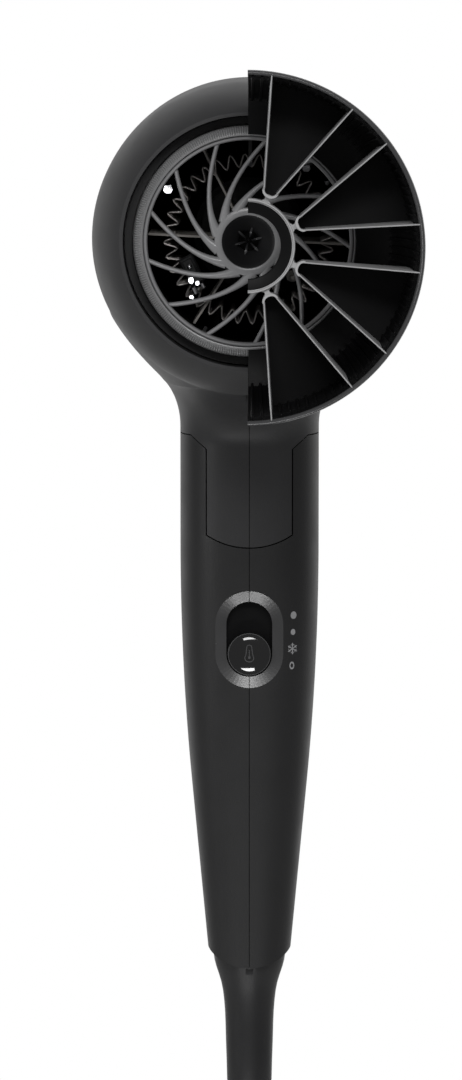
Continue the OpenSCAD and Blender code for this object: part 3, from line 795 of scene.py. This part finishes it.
def make_button(materials):
    """A glossy round button with a hollow face, marked with a thermometer, and a thin grey ring round its
    edge that is a painted highlight.
    """
    shape = Shape()
    shape.turn([(0.01, -4.1), (3, -4.1), (3, -3.15), (2, -3.15), (2, 0), (6.5, 0), (6.6, 0.2), (6.6, 1.5),
                (6.5, 2.0), (6.25, 2.2), (5.85, 2.2), (5.6, 2.1)]
               + [(r, dish(r)) for r in np.linspace(5.3, 0.01, 16)], facing_button, steps=96)
    obj = shape.piece("push_button", materials["gloss"], "button", "gloss", 50)
    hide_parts("power_button")

    icon = Shape()
    line = [(0.75 * math.cos(a), 2.0 + 0.7 * math.sin(a)) for a in np.linspace(0, math.pi, 9)]
    line += [(-0.9, 0.7), (-1.05, -0.4)]
    line += [(1.35 * math.cos(a), -1.3 + 1.15 * math.sin(a)) for a in np.linspace(2.6, 6.82, 20)]
    line += [(1.05, -0.4), (0.9, 0.7)]
    stroke(icon, line + line[:2])
    stroke(icon, [(0, 1.2), (0, 0.2), (0, -0.8)])
    stroke(icon, [(0, -0.75), (0, -1.1), (0, -1.5)], 0.32)
    # A thin grey ring on the button's rounded edge: a painted highlight.
    icon.turn([(6.18, 2.1), (6.18, 2.27), (6.34, 2.2), (6.34, 2.0)], facing_button, steps=96)
    icon.piece("button_print_and_rim_sheen", materials["icon"], "button", "mark")


SPRING_TURNS = 4


def make_spring(material):
    """The return spring behind the button: a coil that flattens onto the slide's pad."""
    rear, front, radius, wire = -1.38, -0.22, 3.6, 0.17
    rings = []
    for t in np.linspace(0, 1, 145):
        out = polar(2 * math.pi * SPRING_TURNS * t)[0]
        level = rear + (front - rear) * min(max(1.3 * t - 0.15, 0), 1)
        rings.append([(*(out * (radius + wire * math.cos(a))), level + wire * math.sin(a))
                      for a in circle(10)])
    shape = Shape()
    shape.loft(facing_button(rings))
    obj = shape.piece("return_spring", material, "slider", "steel", 60)
    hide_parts("button_spring")
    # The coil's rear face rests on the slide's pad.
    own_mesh(obj)


def facing_button(points):
    """Places (x, up, forward) points with the button's base at zero."""
    return facing(BUTTON_Z)(np.asarray(points, float) + (0, 0, BUTTON_SEAT))


def stroke(shape, line, half=0.12):
    """A printed line on the button's face, through (x, up) points."""
    rings = []
    for p, side in zip(np.array(line, float), square_to(line) * half):
        low, high = dish(math.hypot(*p)) - 0.1, dish(math.hypot(*p)) + 0.06
        rings.append([(*(p - side), low), (*(p - side), high), (*(p + side), high), (*(p + side), low)])
    shape.loft(facing_button(rings))


PRINT = (-0.15, 0.05)   # the printed marks' depth into the handle and height above it


def printed(p, lift):
    """A point over the handle's front, from (x, z)."""
    return p[0], float(face_y(*p)) - lift, p[1]


def print_patch(shape, outline):
    """A thin printed patch that follows the handle's front; the outline is (x, z) points."""
    shape.loft([[printed(p, lift) for p in outline] for lift in PRINT])


def print_loop(shape, middle, radii, width):
    """A printed ring on the handle's front."""
    inner = 1 - width / radii[0]
    shape.loft([[printed(middle + polar(a)[0] * radii * scale, lift)
                 for scale, lift in ((1, PRINT[0]), (1, PRINT[1]), (inner, PRINT[1]), (inner, PRINT[0]))]
                for a in circle(24)], closed=True)


def mark_at(z):
    """The marks stand in a line that leans out with the handle's side."""
    return np.array([12.5 + 0.032 * z, z])


def make_marks(material):
    """Two speed dots, a cold-air snowflake and a zero beside the slide."""
    shape = Shape()
    for z, radii in ((24.95, (0.88, 1.14)), (19.85, (0.7, 0.92))):
        print_patch(shape, [mark_at(z) + polar(a)[0] * radii for a in circle(24)])
    print_loop(shape, mark_at(9.65), np.array([0.72, 1.18]), 0.3)

    def arm(root, along, half):
        side = np.array([-along[1], along[0]]) * half
        print_patch(shape, [root + side, root - side, root + along - side, root + along + side])

    for a in circle(6) + math.radians(30):
        out = polar(a)[0] * (1, 1.15)
        arm(mark_at(14.8), out * 1.5, 0.13 / 1.5)
        for turn in (-0.9, 0.9):
            arm(mark_at(14.8) + out * 0.8, polar(a + turn)[0] * 0.6, 0.09 / 0.6)
    shape.piece("setting_marks", material, "body", "mark")


# ---- strain relief, cord and plug ----

RELIEF_END = -142.0
PLUG = (7.2, -7.2)


def make_relief(material):
    """The moulded sleeve at the handle's end: smooth at the top, slotted lower down."""
    shape = Shape()
    profile = [(0.01, -70), (8, -70), (8, -73.6), (5.2, -73.6), (5.2, -81.5), (11.0, -81.5), (10.7, -83.6),
               (10.2, -85.5), (9.3, -88.2), (8.6, -90.6), (8.1, -93.2), (7.75, -96.2), (7.5, -99.5),
               (7.35, -103), (7.2, -109), (7.0, -115), (6.85, -121)]
    for k in range(4):
        z = -123 - 4.5 * k
        r = 6.75 - 0.3 * k
        profile += [(r, z + 1.6), (r - 0.1, z + 0.5), (r - 0.5, z), (r - 1.2, z - 0.3), (r - 1.2, z - 1.5),
                    (r - 0.6, z - 1.8), (r - 0.2, z - 2.1)]
    profile += [(5.3, RELIEF_END + 0.6), (4.9, RELIEF_END), (3.7, RELIEF_END), (3.6, RELIEF_END + 0.4),
                (3.6, RELIEF_END + 12), (0.01, RELIEF_END + 12)]
    shape.turn(profile, upright(0, 0), steps=72)
    shape.box((-1.1, -10.4, -86.4), (1.1, -8, -83.4))
    obj = shape.piece("cord_guard", material, "body", "rubber", 40)
    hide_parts("strain_relief")


def cord_line():
    """The cord's centreline: down from the guard, seven turns of coil, then down to the plug."""
    coil_y, coil_z, inner_r, outer_r, pitch = 35.0, -200.0, 35.0, 42.2, 7.2
    per_turn = 48
    line = [(0, 0, z) for z in range(-132, -200, -4)]
    for k in range(7 * per_turn + 1):
        turns = k / per_turn
        a = 2 * math.pi * turns
        back = max(turns - 4, 0)
        step = min(back / 0.35, 1.0)
        r = inner_r + (outer_r - inner_r) * step * step * (3 - 2 * step)
        x = pitch * min(turns, 4) - pitch * max(back - 0.25, 0) * 3 / 2.75
        line.append((x, coil_y - r * math.cos(a), coil_z - r * math.sin(a)))
    line += [(*PLUG, z) for z in range(-204, -238, -4)]
    return line


def make_cord(material):
    """The mains cord along its centreline."""
    obj = add_curve("mains_cord", [cord_line()], CORD_R, material, "body", 5, caps=True)
    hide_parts("cord_tube", "cord_coil", "cord_tail")
    return obj


def make_tie(material):
    """A strap of hook-and-loop tape round all the turns, with its end lying on top."""
    shape = Shape()
    low, high = np.array([-4.3, -11.4]), np.array([33.1, 4.2])
    path = []
    for cx, cy, start in ((high[0] - 3, high[1] - 3, 0), (low[0] + 3, high[1] - 3, 90),
                          (low[0] + 3, low[1] + 3, 180), (high[0] - 3, low[1] + 3, 270)):
        for k in range(7):
            out = polar(math.radians(start + 15 * k))[0]
            path.append((cx + 3 * out[0], cy + 3 * out[1], *out))
    section = [(0, -5), (0.9, -5), (1.1, -4.7), (1.15, 0), (1.1, 4.7), (0.9, 5), (0, 5), (-0.1, 0)]
    shape.loft([[(x + nx * out * 0.6, y + ny * out * 0.6, -200 + up) for out, up in section]
                for x, y, nx, ny in path], closed=True)
    tab = [(x, -12.1) for x in np.linspace(12, 30, 10)]
    shape.loft([[(x, y - out * 0.5, -200 + up * 0.96) for out, up in section] for x, y in tab])
    obj = shape.piece("cord_strap", material, "body", "rubber")
    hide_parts("coil_tie")
    return obj


def oval_ring(half_x, half_y, z, power=2.0, steps=48):
    """A level ring round the plug, from round at power 2 towards square."""
    ring = []
    for a in circle(steps):
        c, s = math.cos(a), math.sin(a)
        ring.append((PLUG[0] + half_x * math.copysign(abs(c) ** (2 / power), c),
                     PLUG[1] + half_y * math.copysign(abs(s) ** (2 / power), s), z))
    return ring


def make_plug(materials):
    """A moulded two-pin plug: ribbed neck, finger dents in its sides, pins with sleeves."""
    shape = Shape()
    neck = []
    for k in range(5):
        z = -230 - 3.1 * k
        r = 4.6 + 0.22 * k
        neck += [oval_ring(r + wide, r + wide, z - down)
                 for wide, down in ((0, 0), (0.1, 1.7), (-0.7, 1.9), (-0.7, 2.8))]
    neck.append(oval_ring(5.6, 5.6, -246))
    shape.loft(neck)
    body = [(5.4, 5.4, -245.8), (6.3, 6.3, -247), (7.4, 7.0, -249.5, 2.1), (10.4, 8.3, -254, 2.2),
            (14.4, 9.6, -259, 2.3), (16.4, 10.3, -263, 2.5), (16.9, 10.6, -268, 2.6),
            (17.1, 10.7, -274, 2.7), (17.6, 10.8, -279, 2.8), (17.8, 10.8, -284, 2.8),
            (17.5, 10.5, -285.6, 2.8), (16.9, 9.9, -286, 2.8)]
    shape.loft([oval_ring(*level) for level in body])
    for sign in (-1, 1):
        for k in range(5):
            z = -265 - 3.2 * k
            x = PLUG[0] + sign * 16.9
            shape.loft([[(x + sign * 0.55 * math.sin(a), PLUG[1] + u, z + 0.7 * math.cos(a))
                         for a in circle(8)] for u in (-4.5, -4.2, 4.2, 4.5)])
    obj = shape.piece("plug_moulding", materials["rubber"], "body", "rubber", 40)
    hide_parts("plug_body")

    pins = Shape()
    sleeves = Shape()
    for x in (-9.5, 9.5):
        place = upright(PLUG[0] + x, PLUG[1])
        pins.turn([(0.01, -286), (2.2, -286), (2.2, -295.5), (2.4, -295.7), (2.4, -303.4), (2.1, -304.4),
                   (1.3, -304.95), (0.01, -305)], place, steps=40)
        sleeves.turn([(2.05, -285.9), (2.4, -285.9), (2.4, -295.6), (2.05, -295.6)], place, steps=40)
    pins_obj = pins.piece("pin_pair", materials["steel"], "body", "steel")
    sleeve_obj = sleeves.piece("pin_sleeves", materials["rubber"], "body", "rubber")
    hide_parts("plug_pins")
    return [obj, pins_obj, sleeve_obj]


# ---- filter cap ----

def make_filter(materials):
    """The cap over the air inlet: a ribbed shell, a web of rings and spokes, and woven wire."""
    shape = Shape()
    outer = [(44.2, -62.3), (44.15, -66), (43.7, -72), (42.9, -78), (41.8, -83), (40.4, -86.4), (38.5, -88.7),
             (36.6, -89.8), (35.6, -90), (34.2, -90), (34.0, -89.6), (34.0, -88)]
    inner = [(36.6, -87), (39.9, -82), (41.2, -74), (41, -66), (39.6, -63), (39.6, -54), (41.4, -54),
             (41.4, -62.3)]
    shape.turn(outer + inner, steps=160)
    for r in (8, 16, 24):
        shape.turn([(r, -88.3), (r + 1.4, -88.3), (r + 1.4, -89.4), (r + 1.0, -89.8), (r + 0.4, -89.8),
                    (r, -89.4)], steps=96)
    shape.turn([(0.01, -88.3), (3, -88.3), (3, -89.3), (2.5, -89.8), (0.01, -89.8)], steps=40)
    spoke = [(-0.55, -88.4), (0.55, -88.4), (0.55, -89.2), (0.25, -89.6), (-0.25, -89.6), (-0.55, -89.2)]
    for k, a in enumerate(circle(24)):
        near = 16.7 if k % 2 else 2
        shape.bar(a, [[(r, u, f) for u, f in spoke] for r in np.linspace(near, 34.9, 5)])
    for a in circle(48):
        shape.bar(a, [[(r - 0.3, -0.35, f), (r + 0.22, -0.2, f), (r + 0.22, 0.2, f), (r - 0.3, 0.35, f)]
                      for r, f in ((43.9, -68), (43.75, -72), (42.95, -78), (41.9, -83))])
    obj = shape.piece("filter_shell", materials["trim"], "filter", "trim")
    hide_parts("filter_cap")

    pitch, reach, wire_r, lift = 0.9, 39.2, 0.31, 0.16
    count = int(reach / pitch)
    lines = []
    for turned in (0, 1):
        for n in range(-count, count + 1):
            across = n * pitch
            ends = int(math.sqrt(reach ** 2 - across ** 2) / pitch)
            wire = []
            for j in range(-ends, ends + 1):
                over = lift * (1 if (j + n + turned) % 2 else -1)
                x, up = (across, j * pitch) if turned else (j * pitch, across)
                wire.append((x, up, -81.2 + over))
            if ends:
                lines.append(forward(wire))
    weave = add_curve("filter_weave", lines, wire_r, materials["mesh"], "filter")
    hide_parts("filter_mesh")
    # A dark sheet behind the weave: painted shade for the dark inside of the dryer seen through the mesh.
    cloth = Shape()
    cloth.turn([(0.01, -80.95), (39.3, -80.95), (39.3, -80.85), (0.01, -80.85)], steps=64)
    cloth.piece("filter_shade_sheet", materials["cloth"], "filter", "mesh")


# ---- diffuser ----

COLLAR_R = LIP_R + 2
MOUTH_R = RIM_R - 1.2
FLARE_LEN = 39.0
BELL_WALL = 1.1
FLOOR_F = 122.0
DISH_F = 130.5
PETAL_TIP = 14.6


def bell_wall(f, inset=0.0):
    """The bell's outer radius at a distance forward, less inset."""
    c = np.clip(1 - (f - BELL_F) / FLARE_LEN, 0, 1)
    grown = COLLAR_R + (MOUTH_R - COLLAR_R) * math.sqrt(1 - c * c)
    lip = max(f - 142.5, 0) / 3.5
    return grown + 1.2 * min(lip, 1.0) ** 2 - inset


def make_bell(materials):
    """The diffuser's bell, with fine ribs inside, a lip round its collar and a rounded rim. The bell is
    near-black as painted shade inside it.
    """
    shape = Shape()
    levels = list(np.linspace(BELL_F, 146, 26))
    outer = [(34.9, 92.3), (34.9, 100.2), (36.2, 100.6)] + [(bell_wall(f), f) for f in levels]
    rim = [(RIM_R - 0.2, 146.4), (RIM_R - 1.2, 146.4)]
    inner = [(min(bell_wall(f, BELL_WALL), RIM_R - 1.25), f) for f in reversed(levels[2:])]
    collar = [(34.6, 102.6), (30.4, 102.4), (30.2, 102.0), (30.4, 101.6), (32.9, 101.2), (32.9, 92.3)]
    shape.turn(outer + rim + inner + collar, steps=120, start=-90, sweep=180)
    ribs = 56
    for k in range(ribs):
        rings = []
        for f in np.linspace(103, 146, 12):
            r = min(bell_wall(f, BELL_WALL), RIM_R - 1.3)
            slope = (bell_wall(f + 0.2) - bell_wall(f - 0.2)) / 0.4
            low, high = (np.array([1, -slope]) * n / math.hypot(1, slope) for n in (0.3, -0.5))
            rings.append([(r + way[0], u, f + way[1])
                          for way, u in ((low, -0.5), (high, -0.3), (high, 0.3), (low, 0.5))])
        shape.bar(math.radians(-90 + 180 * (k + 0.5) / ribs), rings)
    obj = shape.piece("diffuser_shell", materials["diffuser"], "diffuser", "diffuser", 30)
    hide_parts("diffuser_bell")

    # The rim is a separate piece, lighter than the bell: a painted highlight on its rounded edge.
    rim = Shape()
    rim.turn([(RIM_R - 0.1, 146.2), (RIM_R, 147.3), (RIM_R - 0.2, 147.85), (RIM_R - 0.45, 148),
              (RIM_R - 0.75, 147.9), (RIM_R - 1.1, 147.6), (RIM_R - 1.3, 147.2), (RIM_R - 1.35, 146.2)],
             steps=160, start=-90, sweep=180)
    rim.piece("diffuser_rim", materials["rim"], "diffuser", "diffuser", 30)


def dish_level(r):
    """How far forward the fins' edges reach, at a distance from the axis."""
    return DISH_F + (RIM_F - 0.3 - DISH_F) * (r - 13.6) / (MOUTH_R - 13.6)


def make_petals(materials):
    """Four closed petals: two thin walls that meet near the hub, a floor, and a tab to the hub ring. The
    walls are light grey as a painted highlight on their edges, and the floors near-black as painted shade.
    """
    shape, floors = Shape(), Shape()
    tip = np.array([PETAL_TIP + 1.6, 1.9])
    far = np.array([45.8, 11.9])
    for k in range(4):
        turn = math.radians(-67.5 + 45 * k)
        for sign in (-1, 1):
            start, end = tip * (1, sign), far * (1, sign)
            along, across = polar(math.atan2(*(end - start)[::-1]))
            level, gap = float(np.dot(start, along)), float(np.dot(start, across))
            rings = []
            for s in np.linspace(0, 1, 22):
                ring = []
                for u, below in ((-0.4, None), (-0.22, 0.5), (-0.15, 0.1), (0, 0), (0.15, 0.1), (0.22, 0.5),
                                 (0.4, None)):
                    f = FLOOR_F
                    if below is not None:
                        guess = start + (end - start) * s
                        f = dish_level(min(np.linalg.norm(guess), MOUTH_R)) - below
                    reach = min(bell_wall(f, BELL_WALL - 0.4), RIM_R - 1.0)
                    stop = start + along * (math.sqrt(reach ** 2 - gap ** 2) - level)
                    ring.append((*(start + (stop - start) * s + across * u), f))
                rings.append(ring)
            shape.bar(turn, rings)
        turns = np.linspace(math.pi / 2, 3 * math.pi / 2, 11)
        nose = [(tip[0] + 1.9 * math.cos(a), 2.3 * math.sin(a)) for a in turns]
        nose += [(tip[0] + 1.25 * math.cos(a), 1.7 * math.sin(a)) for a in reversed(turns)]
        top = dish_level(PETAL_TIP)
        shape.bar(turn, [[(*p, f) for p in nose] for f in (FLOOR_F, top - 0.3, top)])
        reach = bell_wall(FLOOR_F, BELL_WALL - 0.4)
        floor = [(PETAL_TIP + 0.3, -0.9), (PETAL_TIP + 1.2, -1.9)]
        floor += [(reach * math.cos(a), reach * math.sin(a)) for a in np.linspace(-0.245, 0.245, 13)]
        floor += [(PETAL_TIP + 1.2, 1.9), (PETAL_TIP + 0.3, 0.9)]
        floors.bar(turn, [[(*p, f) for p in floor] for f in (FLOOR_F, FLOOR_F + 1.2)])
        tab = [(12.7, -1.7), (13.5, -0.7), (14.1, -0.7), (15.1, -1.9), (15.1, 1.9), (14.1, 0.7),
               (13.5, 0.7), (12.7, 1.7)]
        shape.bar(turn, [[(*p, f) for p in tab] for f in (FLOOR_F + 2, DISH_F - 1.2)])
    obj = shape.piece("diffuser_fins", materials["fins"], "diffuser", "diffuser", 40)
    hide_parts("diffuser_petals")
    floors.piece("petal_floors", materials["diffuser"], "diffuser", "diffuser")


def make_hub_ring(materials):
    """A ring that joins the petals' tips, light grey as a painted highlight on its bright edge, and the
    near-black plate inside it, painted shade.
    """
    ring, plate = Shape(), Shape()
    ring.turn([(11.9, FLOOR_F), (13, FLOOR_F), (13, DISH_F - 0.4), (12.8, DISH_F), (12.55, DISH_F),
               (12.35, DISH_F - 0.4), (12.3, DISH_F - 0.8), (11.9, DISH_F - 0.8)],
              steps=72, start=-90, sweep=180)
    obj = ring.piece("fin_ring", materials["fins"], "diffuser", "diffuser")
    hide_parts("diffuser_hub_ring")
    plate.turn([(9.0, DISH_F - 1.9), (12.1, DISH_F - 1.9), (12.1, DISH_F - 0.75), (9.5, DISH_F - 1.0),
                (9.15, DISH_F - 1.15), (9.0, DISH_F - 1.5)], steps=72, start=-90, sweep=180)
    plate.piece("hub_plate", materials["diffuser"], "diffuser", "diffuser")


# ---- CAD pieces shown as they are ----

def dress_inner_pieces(materials):
    """Gives the CAD's own pieces their materials."""
    for name, nodes in (
            ("dark", ("fan_housing", "fan_impeller", "motor_end_cap", "inlet_guard", "snap_ring",
                      "switch_module", "cord_clamp", "supply_lead")),
            # The slide carriage is painted near-black as shade in the switch opening.
            ("deep", ("slider_carriage",)), ("steel", ("motor_shaft", "shell_screws")),
            ("black_steel", ("motor_can", "heater_sleeve")), ("mica", ("thermal_fuse",)),
            ("magnet", ("motor_magnets",)), ("copper", ("armature", "commutator")),
            ("bronze", ("motor_bearings",)), ("board", ("control_board",)), ("component", ("board_parts",))):
        for node in nodes:
            paint(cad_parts[node], materials[name])


# ---- materials ----

def set_inputs(sockets, values):
    """Sets a node's inputs by name, or links them to outputs; an underscore in a name is a space."""
    for name, value in values.items():
        socket = sockets[name.replace("_", " ")]
        if isinstance(value, bpy.types.NodeSocket):
            socket.id_data.links.new(value, socket)
        else:
            socket.default_value = value


def add_node(tree, kind, output=0, **values):
    """Adds a shader node and returns one of its outputs."""
    node = tree.nodes.new("ShaderNode" + kind)
    set_inputs(node.inputs, values)
    return node.outputs[output]


def new_material(name):
    """A material, its node tree, and the place on the object that its noises follow."""
    m = bpy.data.materials.new(name)
    m.use_nodes = True
    return m, m.node_tree, add_node(m.node_tree, "TexCoord", "Object")


def set_surface(tree, noise, colours, gloss, **values):
    """A colour and a roughness that each vary with a noise between two limits, and other inputs."""
    dark, light = ([*colour, 1] for colour in colours)
    values["Base_Color"] = add_node(tree, "MixRGB", Fac=noise, Color1=dark, Color2=light)
    values["Roughness"] = add_node(tree, "MapRange", Value=noise, To_Min=gloss[0], To_Max=gloss[1])
    set_inputs(tree.nodes["Principled BSDF"].inputs, values)


def plastic(name, colour, roughness, grain=0.0, grain_size=2500.0, spread=0.08, coat=0.0, shine=0.5):
    """Moulded plastic: an even colour with a little mottling, uneven gloss and a fine grain."""
    m, tree, place = new_material(name)
    extra = {}
    if grain:
        fine = add_node(tree, "TexNoise", Vector=place, Scale=grain_size, Detail=3.0)
        extra["Normal"] = add_node(tree, "Bump", Strength=grain, Distance=0.0002, Height=fine)
    mottling = add_node(tree, "TexNoise", Vector=place, Scale=90.0, Detail=4.0)
    set_surface(tree, mottling, ([c * 0.9 for c in colour], [min(c * 1.12, 1) for c in colour]),
                (max(roughness - spread, 0.02), roughness + spread),
                Specular_IOR_Level=shine, Coat_Weight=coat, Coat_Roughness=0.05, **extra)
    return m


def metal(name, colour, roughness, streak=40.0):
    """Metal with drawn or brushed streaks that vary its gloss."""
    m, tree, place = new_material(name)
    stretched = add_node(tree, "Mapping", Vector=place, Scale=(streak, streak, 1.0))
    streaks = add_node(tree, "TexNoise", Vector=stretched, Scale=60.0, Detail=5.0)
    set_surface(tree, streaks, ([c * 0.82 for c in colour], colour), (roughness * 0.7, roughness * 1.4),
                Metallic=1.0)
    return m


def make_materials():
    """Every material, by the short name that the other functions use."""
    return {
        "shell": plastic("shell_matte", (0.0285, 0.0285, 0.03), 0.5, grain=0.25),
        "grip": plastic("grip_matte", (0.014, 0.014, 0.0147), 0.48, grain=0.25),
        "trim": plastic("trim_satin", (0.028, 0.028, 0.03), 0.34, grain=0.1),
        # Grille: light grey base colour, a painted highlight on the arms and hub.
        "grille": plastic("grille_painted_highlight", (0.26, 0.26, 0.265), 0.26, grain=0.08),
        # Outlet ring: light grey base colour, a painted highlight on its toothed bevel.
        "ring": plastic("ring_painted_highlight", (0.2, 0.2, 0.203), 0.3, grain=0.05),
        # Dark inner plastic: the real colour of the inner parts, and painted shade on the grille hub's bore.
        "dark": plastic("inner_plastic_and_bore_shade", (0.012, 0.012, 0.013), 0.5, grain=0.1),
        # Dark sheet behind the filter weave: painted shade.
        "cloth": plastic("filter_shade_sheet", (0.01, 0.01, 0.0105), 0.9, grain=0.8, grain_size=1500, shine=0.1),
        # Near-black with little shine: painted shade on the slide carriage seen through the switch opening,
        # and the dark of the joint on the seam lips.
        "deep": plastic("slide_shade_and_joint_black", (0.004, 0.004, 0.0045), 0.5, grain=0.1, shine=0.15),
        # Recess bevel: smoother than the grip, with a lighter base colour that is a painted highlight.
        "bevel": plastic("recess_satin_and_highlight", (0.04, 0.04, 0.0415), 0.26, grain=0.05, shine=1.0),
        # Grey for the printed thermometer, and for the painted highlight ring on the button's edge.
        "icon": plastic("icon_grey", (0.07, 0.07, 0.072), 0.5, grain=0.1),
        "gloss": plastic("button_gloss", (0.003, 0.003, 0.0035), 0.06, spread=0.02, coat=1.0),
        "mark": plastic("print_grey", (0.36, 0.36, 0.37), 0.5, grain=0.1),
        "rubber": plastic("rubber_black", (0.014, 0.014, 0.015), 0.42, grain=0.2, grain_size=1800),
        "cord": plastic("cord_sheath", (0.02, 0.02, 0.021), 0.45, grain=0.2, grain_size=1500),
        "strap": plastic("strap_tape", (0.02, 0.02, 0.022), 0.8, grain=0.8, grain_size=1300),
        # Diffuser bell, petal floors and hub plate: near-black with low shine, painted shade inside the bell.
        "diffuser": plastic("diffuser_painted_shade", (0.004, 0.004, 0.0043), 0.45, grain=0.1, shine=0.12),
        # Diffuser rim: lighter than the bell, a painted highlight.
        "rim": plastic("rim_painted_highlight", (0.06, 0.06, 0.062), 0.25, grain=0.05),
        # Fins and hub ring: light grey, a painted highlight on their thin edges.
        "fins": plastic("fin_painted_highlight", (0.5, 0.5, 0.505), 0.2, grain=0.05),
        "steel": metal("bright_steel", (0.68, 0.68, 0.7), 0.22),
        "black_steel": metal("blackened_steel", (0.06, 0.06, 0.06), 0.4),
        "nichrome": metal("nichrome_wire", (0.42, 0.4, 0.385), 0.35),
        "mesh": metal("mesh_wire", (0.4, 0.4, 0.42), 0.35),
        "mica": plastic("mica_sheet", (0.3, 0.285, 0.265), 0.3, grain=0.3, grain_size=600),
        "copper": metal("copper_winding", (0.6, 0.3, 0.18), 0.3),
        "bronze": metal("bronze_bush", (0.6, 0.42, 0.2), 0.35),
        "magnet": plastic("ferrite", (0.05, 0.05, 0.055), 0.55, grain=0.4),
        "board": plastic("circuit_board", (0.03, 0.13, 0.05), 0.4, grain=0.1),
        "component": plastic("component_case", (0.03, 0.05, 0.2), 0.35),
    }


# ---- light, floor and background ----

def strip_light(name, place, target, power, width, height):
    """A rectangular light that faces its target."""
    data = bpy.data.lights.new(name, "AREA")
    data.energy = power
    data.shape = "RECTANGLE"
    data.size = width
    data.size_y = height
    aim(add_object(name, data), place, target)


def make_studio():
    """White behind everything; the light comes from all round, weaker from the front, and from strips."""
    world = bpy.data.worlds.new("studio")
    scene.world = world
    world.use_nodes = True
    tree = world.node_tree
    tree.nodes.clear()
    direction = add_node(tree, "TexCoord", "Generated")
    depth = add_node(tree, "SeparateXYZ", "Y", Vector=direction)
    fade = add_node(tree, "MapRange", Value=depth, From_Min=0.2, From_Max=0.95, To_Min=0.22, To_Max=0.9)
    fade.node.interpolation_type = "SMOOTHSTEP"
    lit = add_node(tree, "Background", Color=fade, Strength=1.0)
    seen = add_node(tree, "Background", Color=(1, 1, 1, 1), Strength=1.0)
    mix = tree.nodes.new("ShaderNodeMixShader")
    for socket, value in zip(mix.inputs, (add_node(tree, "LightPath", "Is Camera Ray"), lit, seen)):
        tree.links.new(value, socket)
    out = tree.nodes.new("ShaderNodeOutputWorld")
    tree.links.new(mix.outputs["Shader"], out.inputs["Surface"])
    scene.view_settings.view_transform = "Standard"

    low = cad_box[0].z - 0.004
    points = [(-0.7, -0.2, low), (0.7, -0.2, low), (0.7, 0.7, low), (-0.7, 0.7, low)]
    floor = add_piece("floor", np.array(points) / MM, [(0, 1, 2, 3)])
    floor.data.materials.append(plastic("floor_pale", (0.8, 0.8, 0.79), 0.6))

    middle = (0, 0, AXIS * MM)
    handle = (0, 0, 0)
    strip_light("high", (0.1, -1.29, 0.77), handle, power=8, width=0.84, height=0.2)
    strip_light("low", (-0.15, -0.85, -0.83), handle, power=2.3, width=0.84, height=0.085)
    strip_light("left", (-1.05, -0.7, 0.14), middle, power=2, width=0.2, height=0.5)


make_camera()
materials = make_materials()
make_studio()
make_casings(materials)
make_outlet_ring(materials["ring"])
for make in (make_grille, make_heater, make_ion_emitter, make_clips, make_thermostat, make_button):
    make(materials)
make_spring(materials["steel"])
make_marks(materials["mark"])
make_relief(materials["rubber"])
cord = make_cord(materials["cord"])
strap = make_tie(materials["strap"])
plug = make_plug(materials)
for make in (make_filter, make_bell, make_petals, make_hub_ring, dress_inner_pieces):
    make(materials)
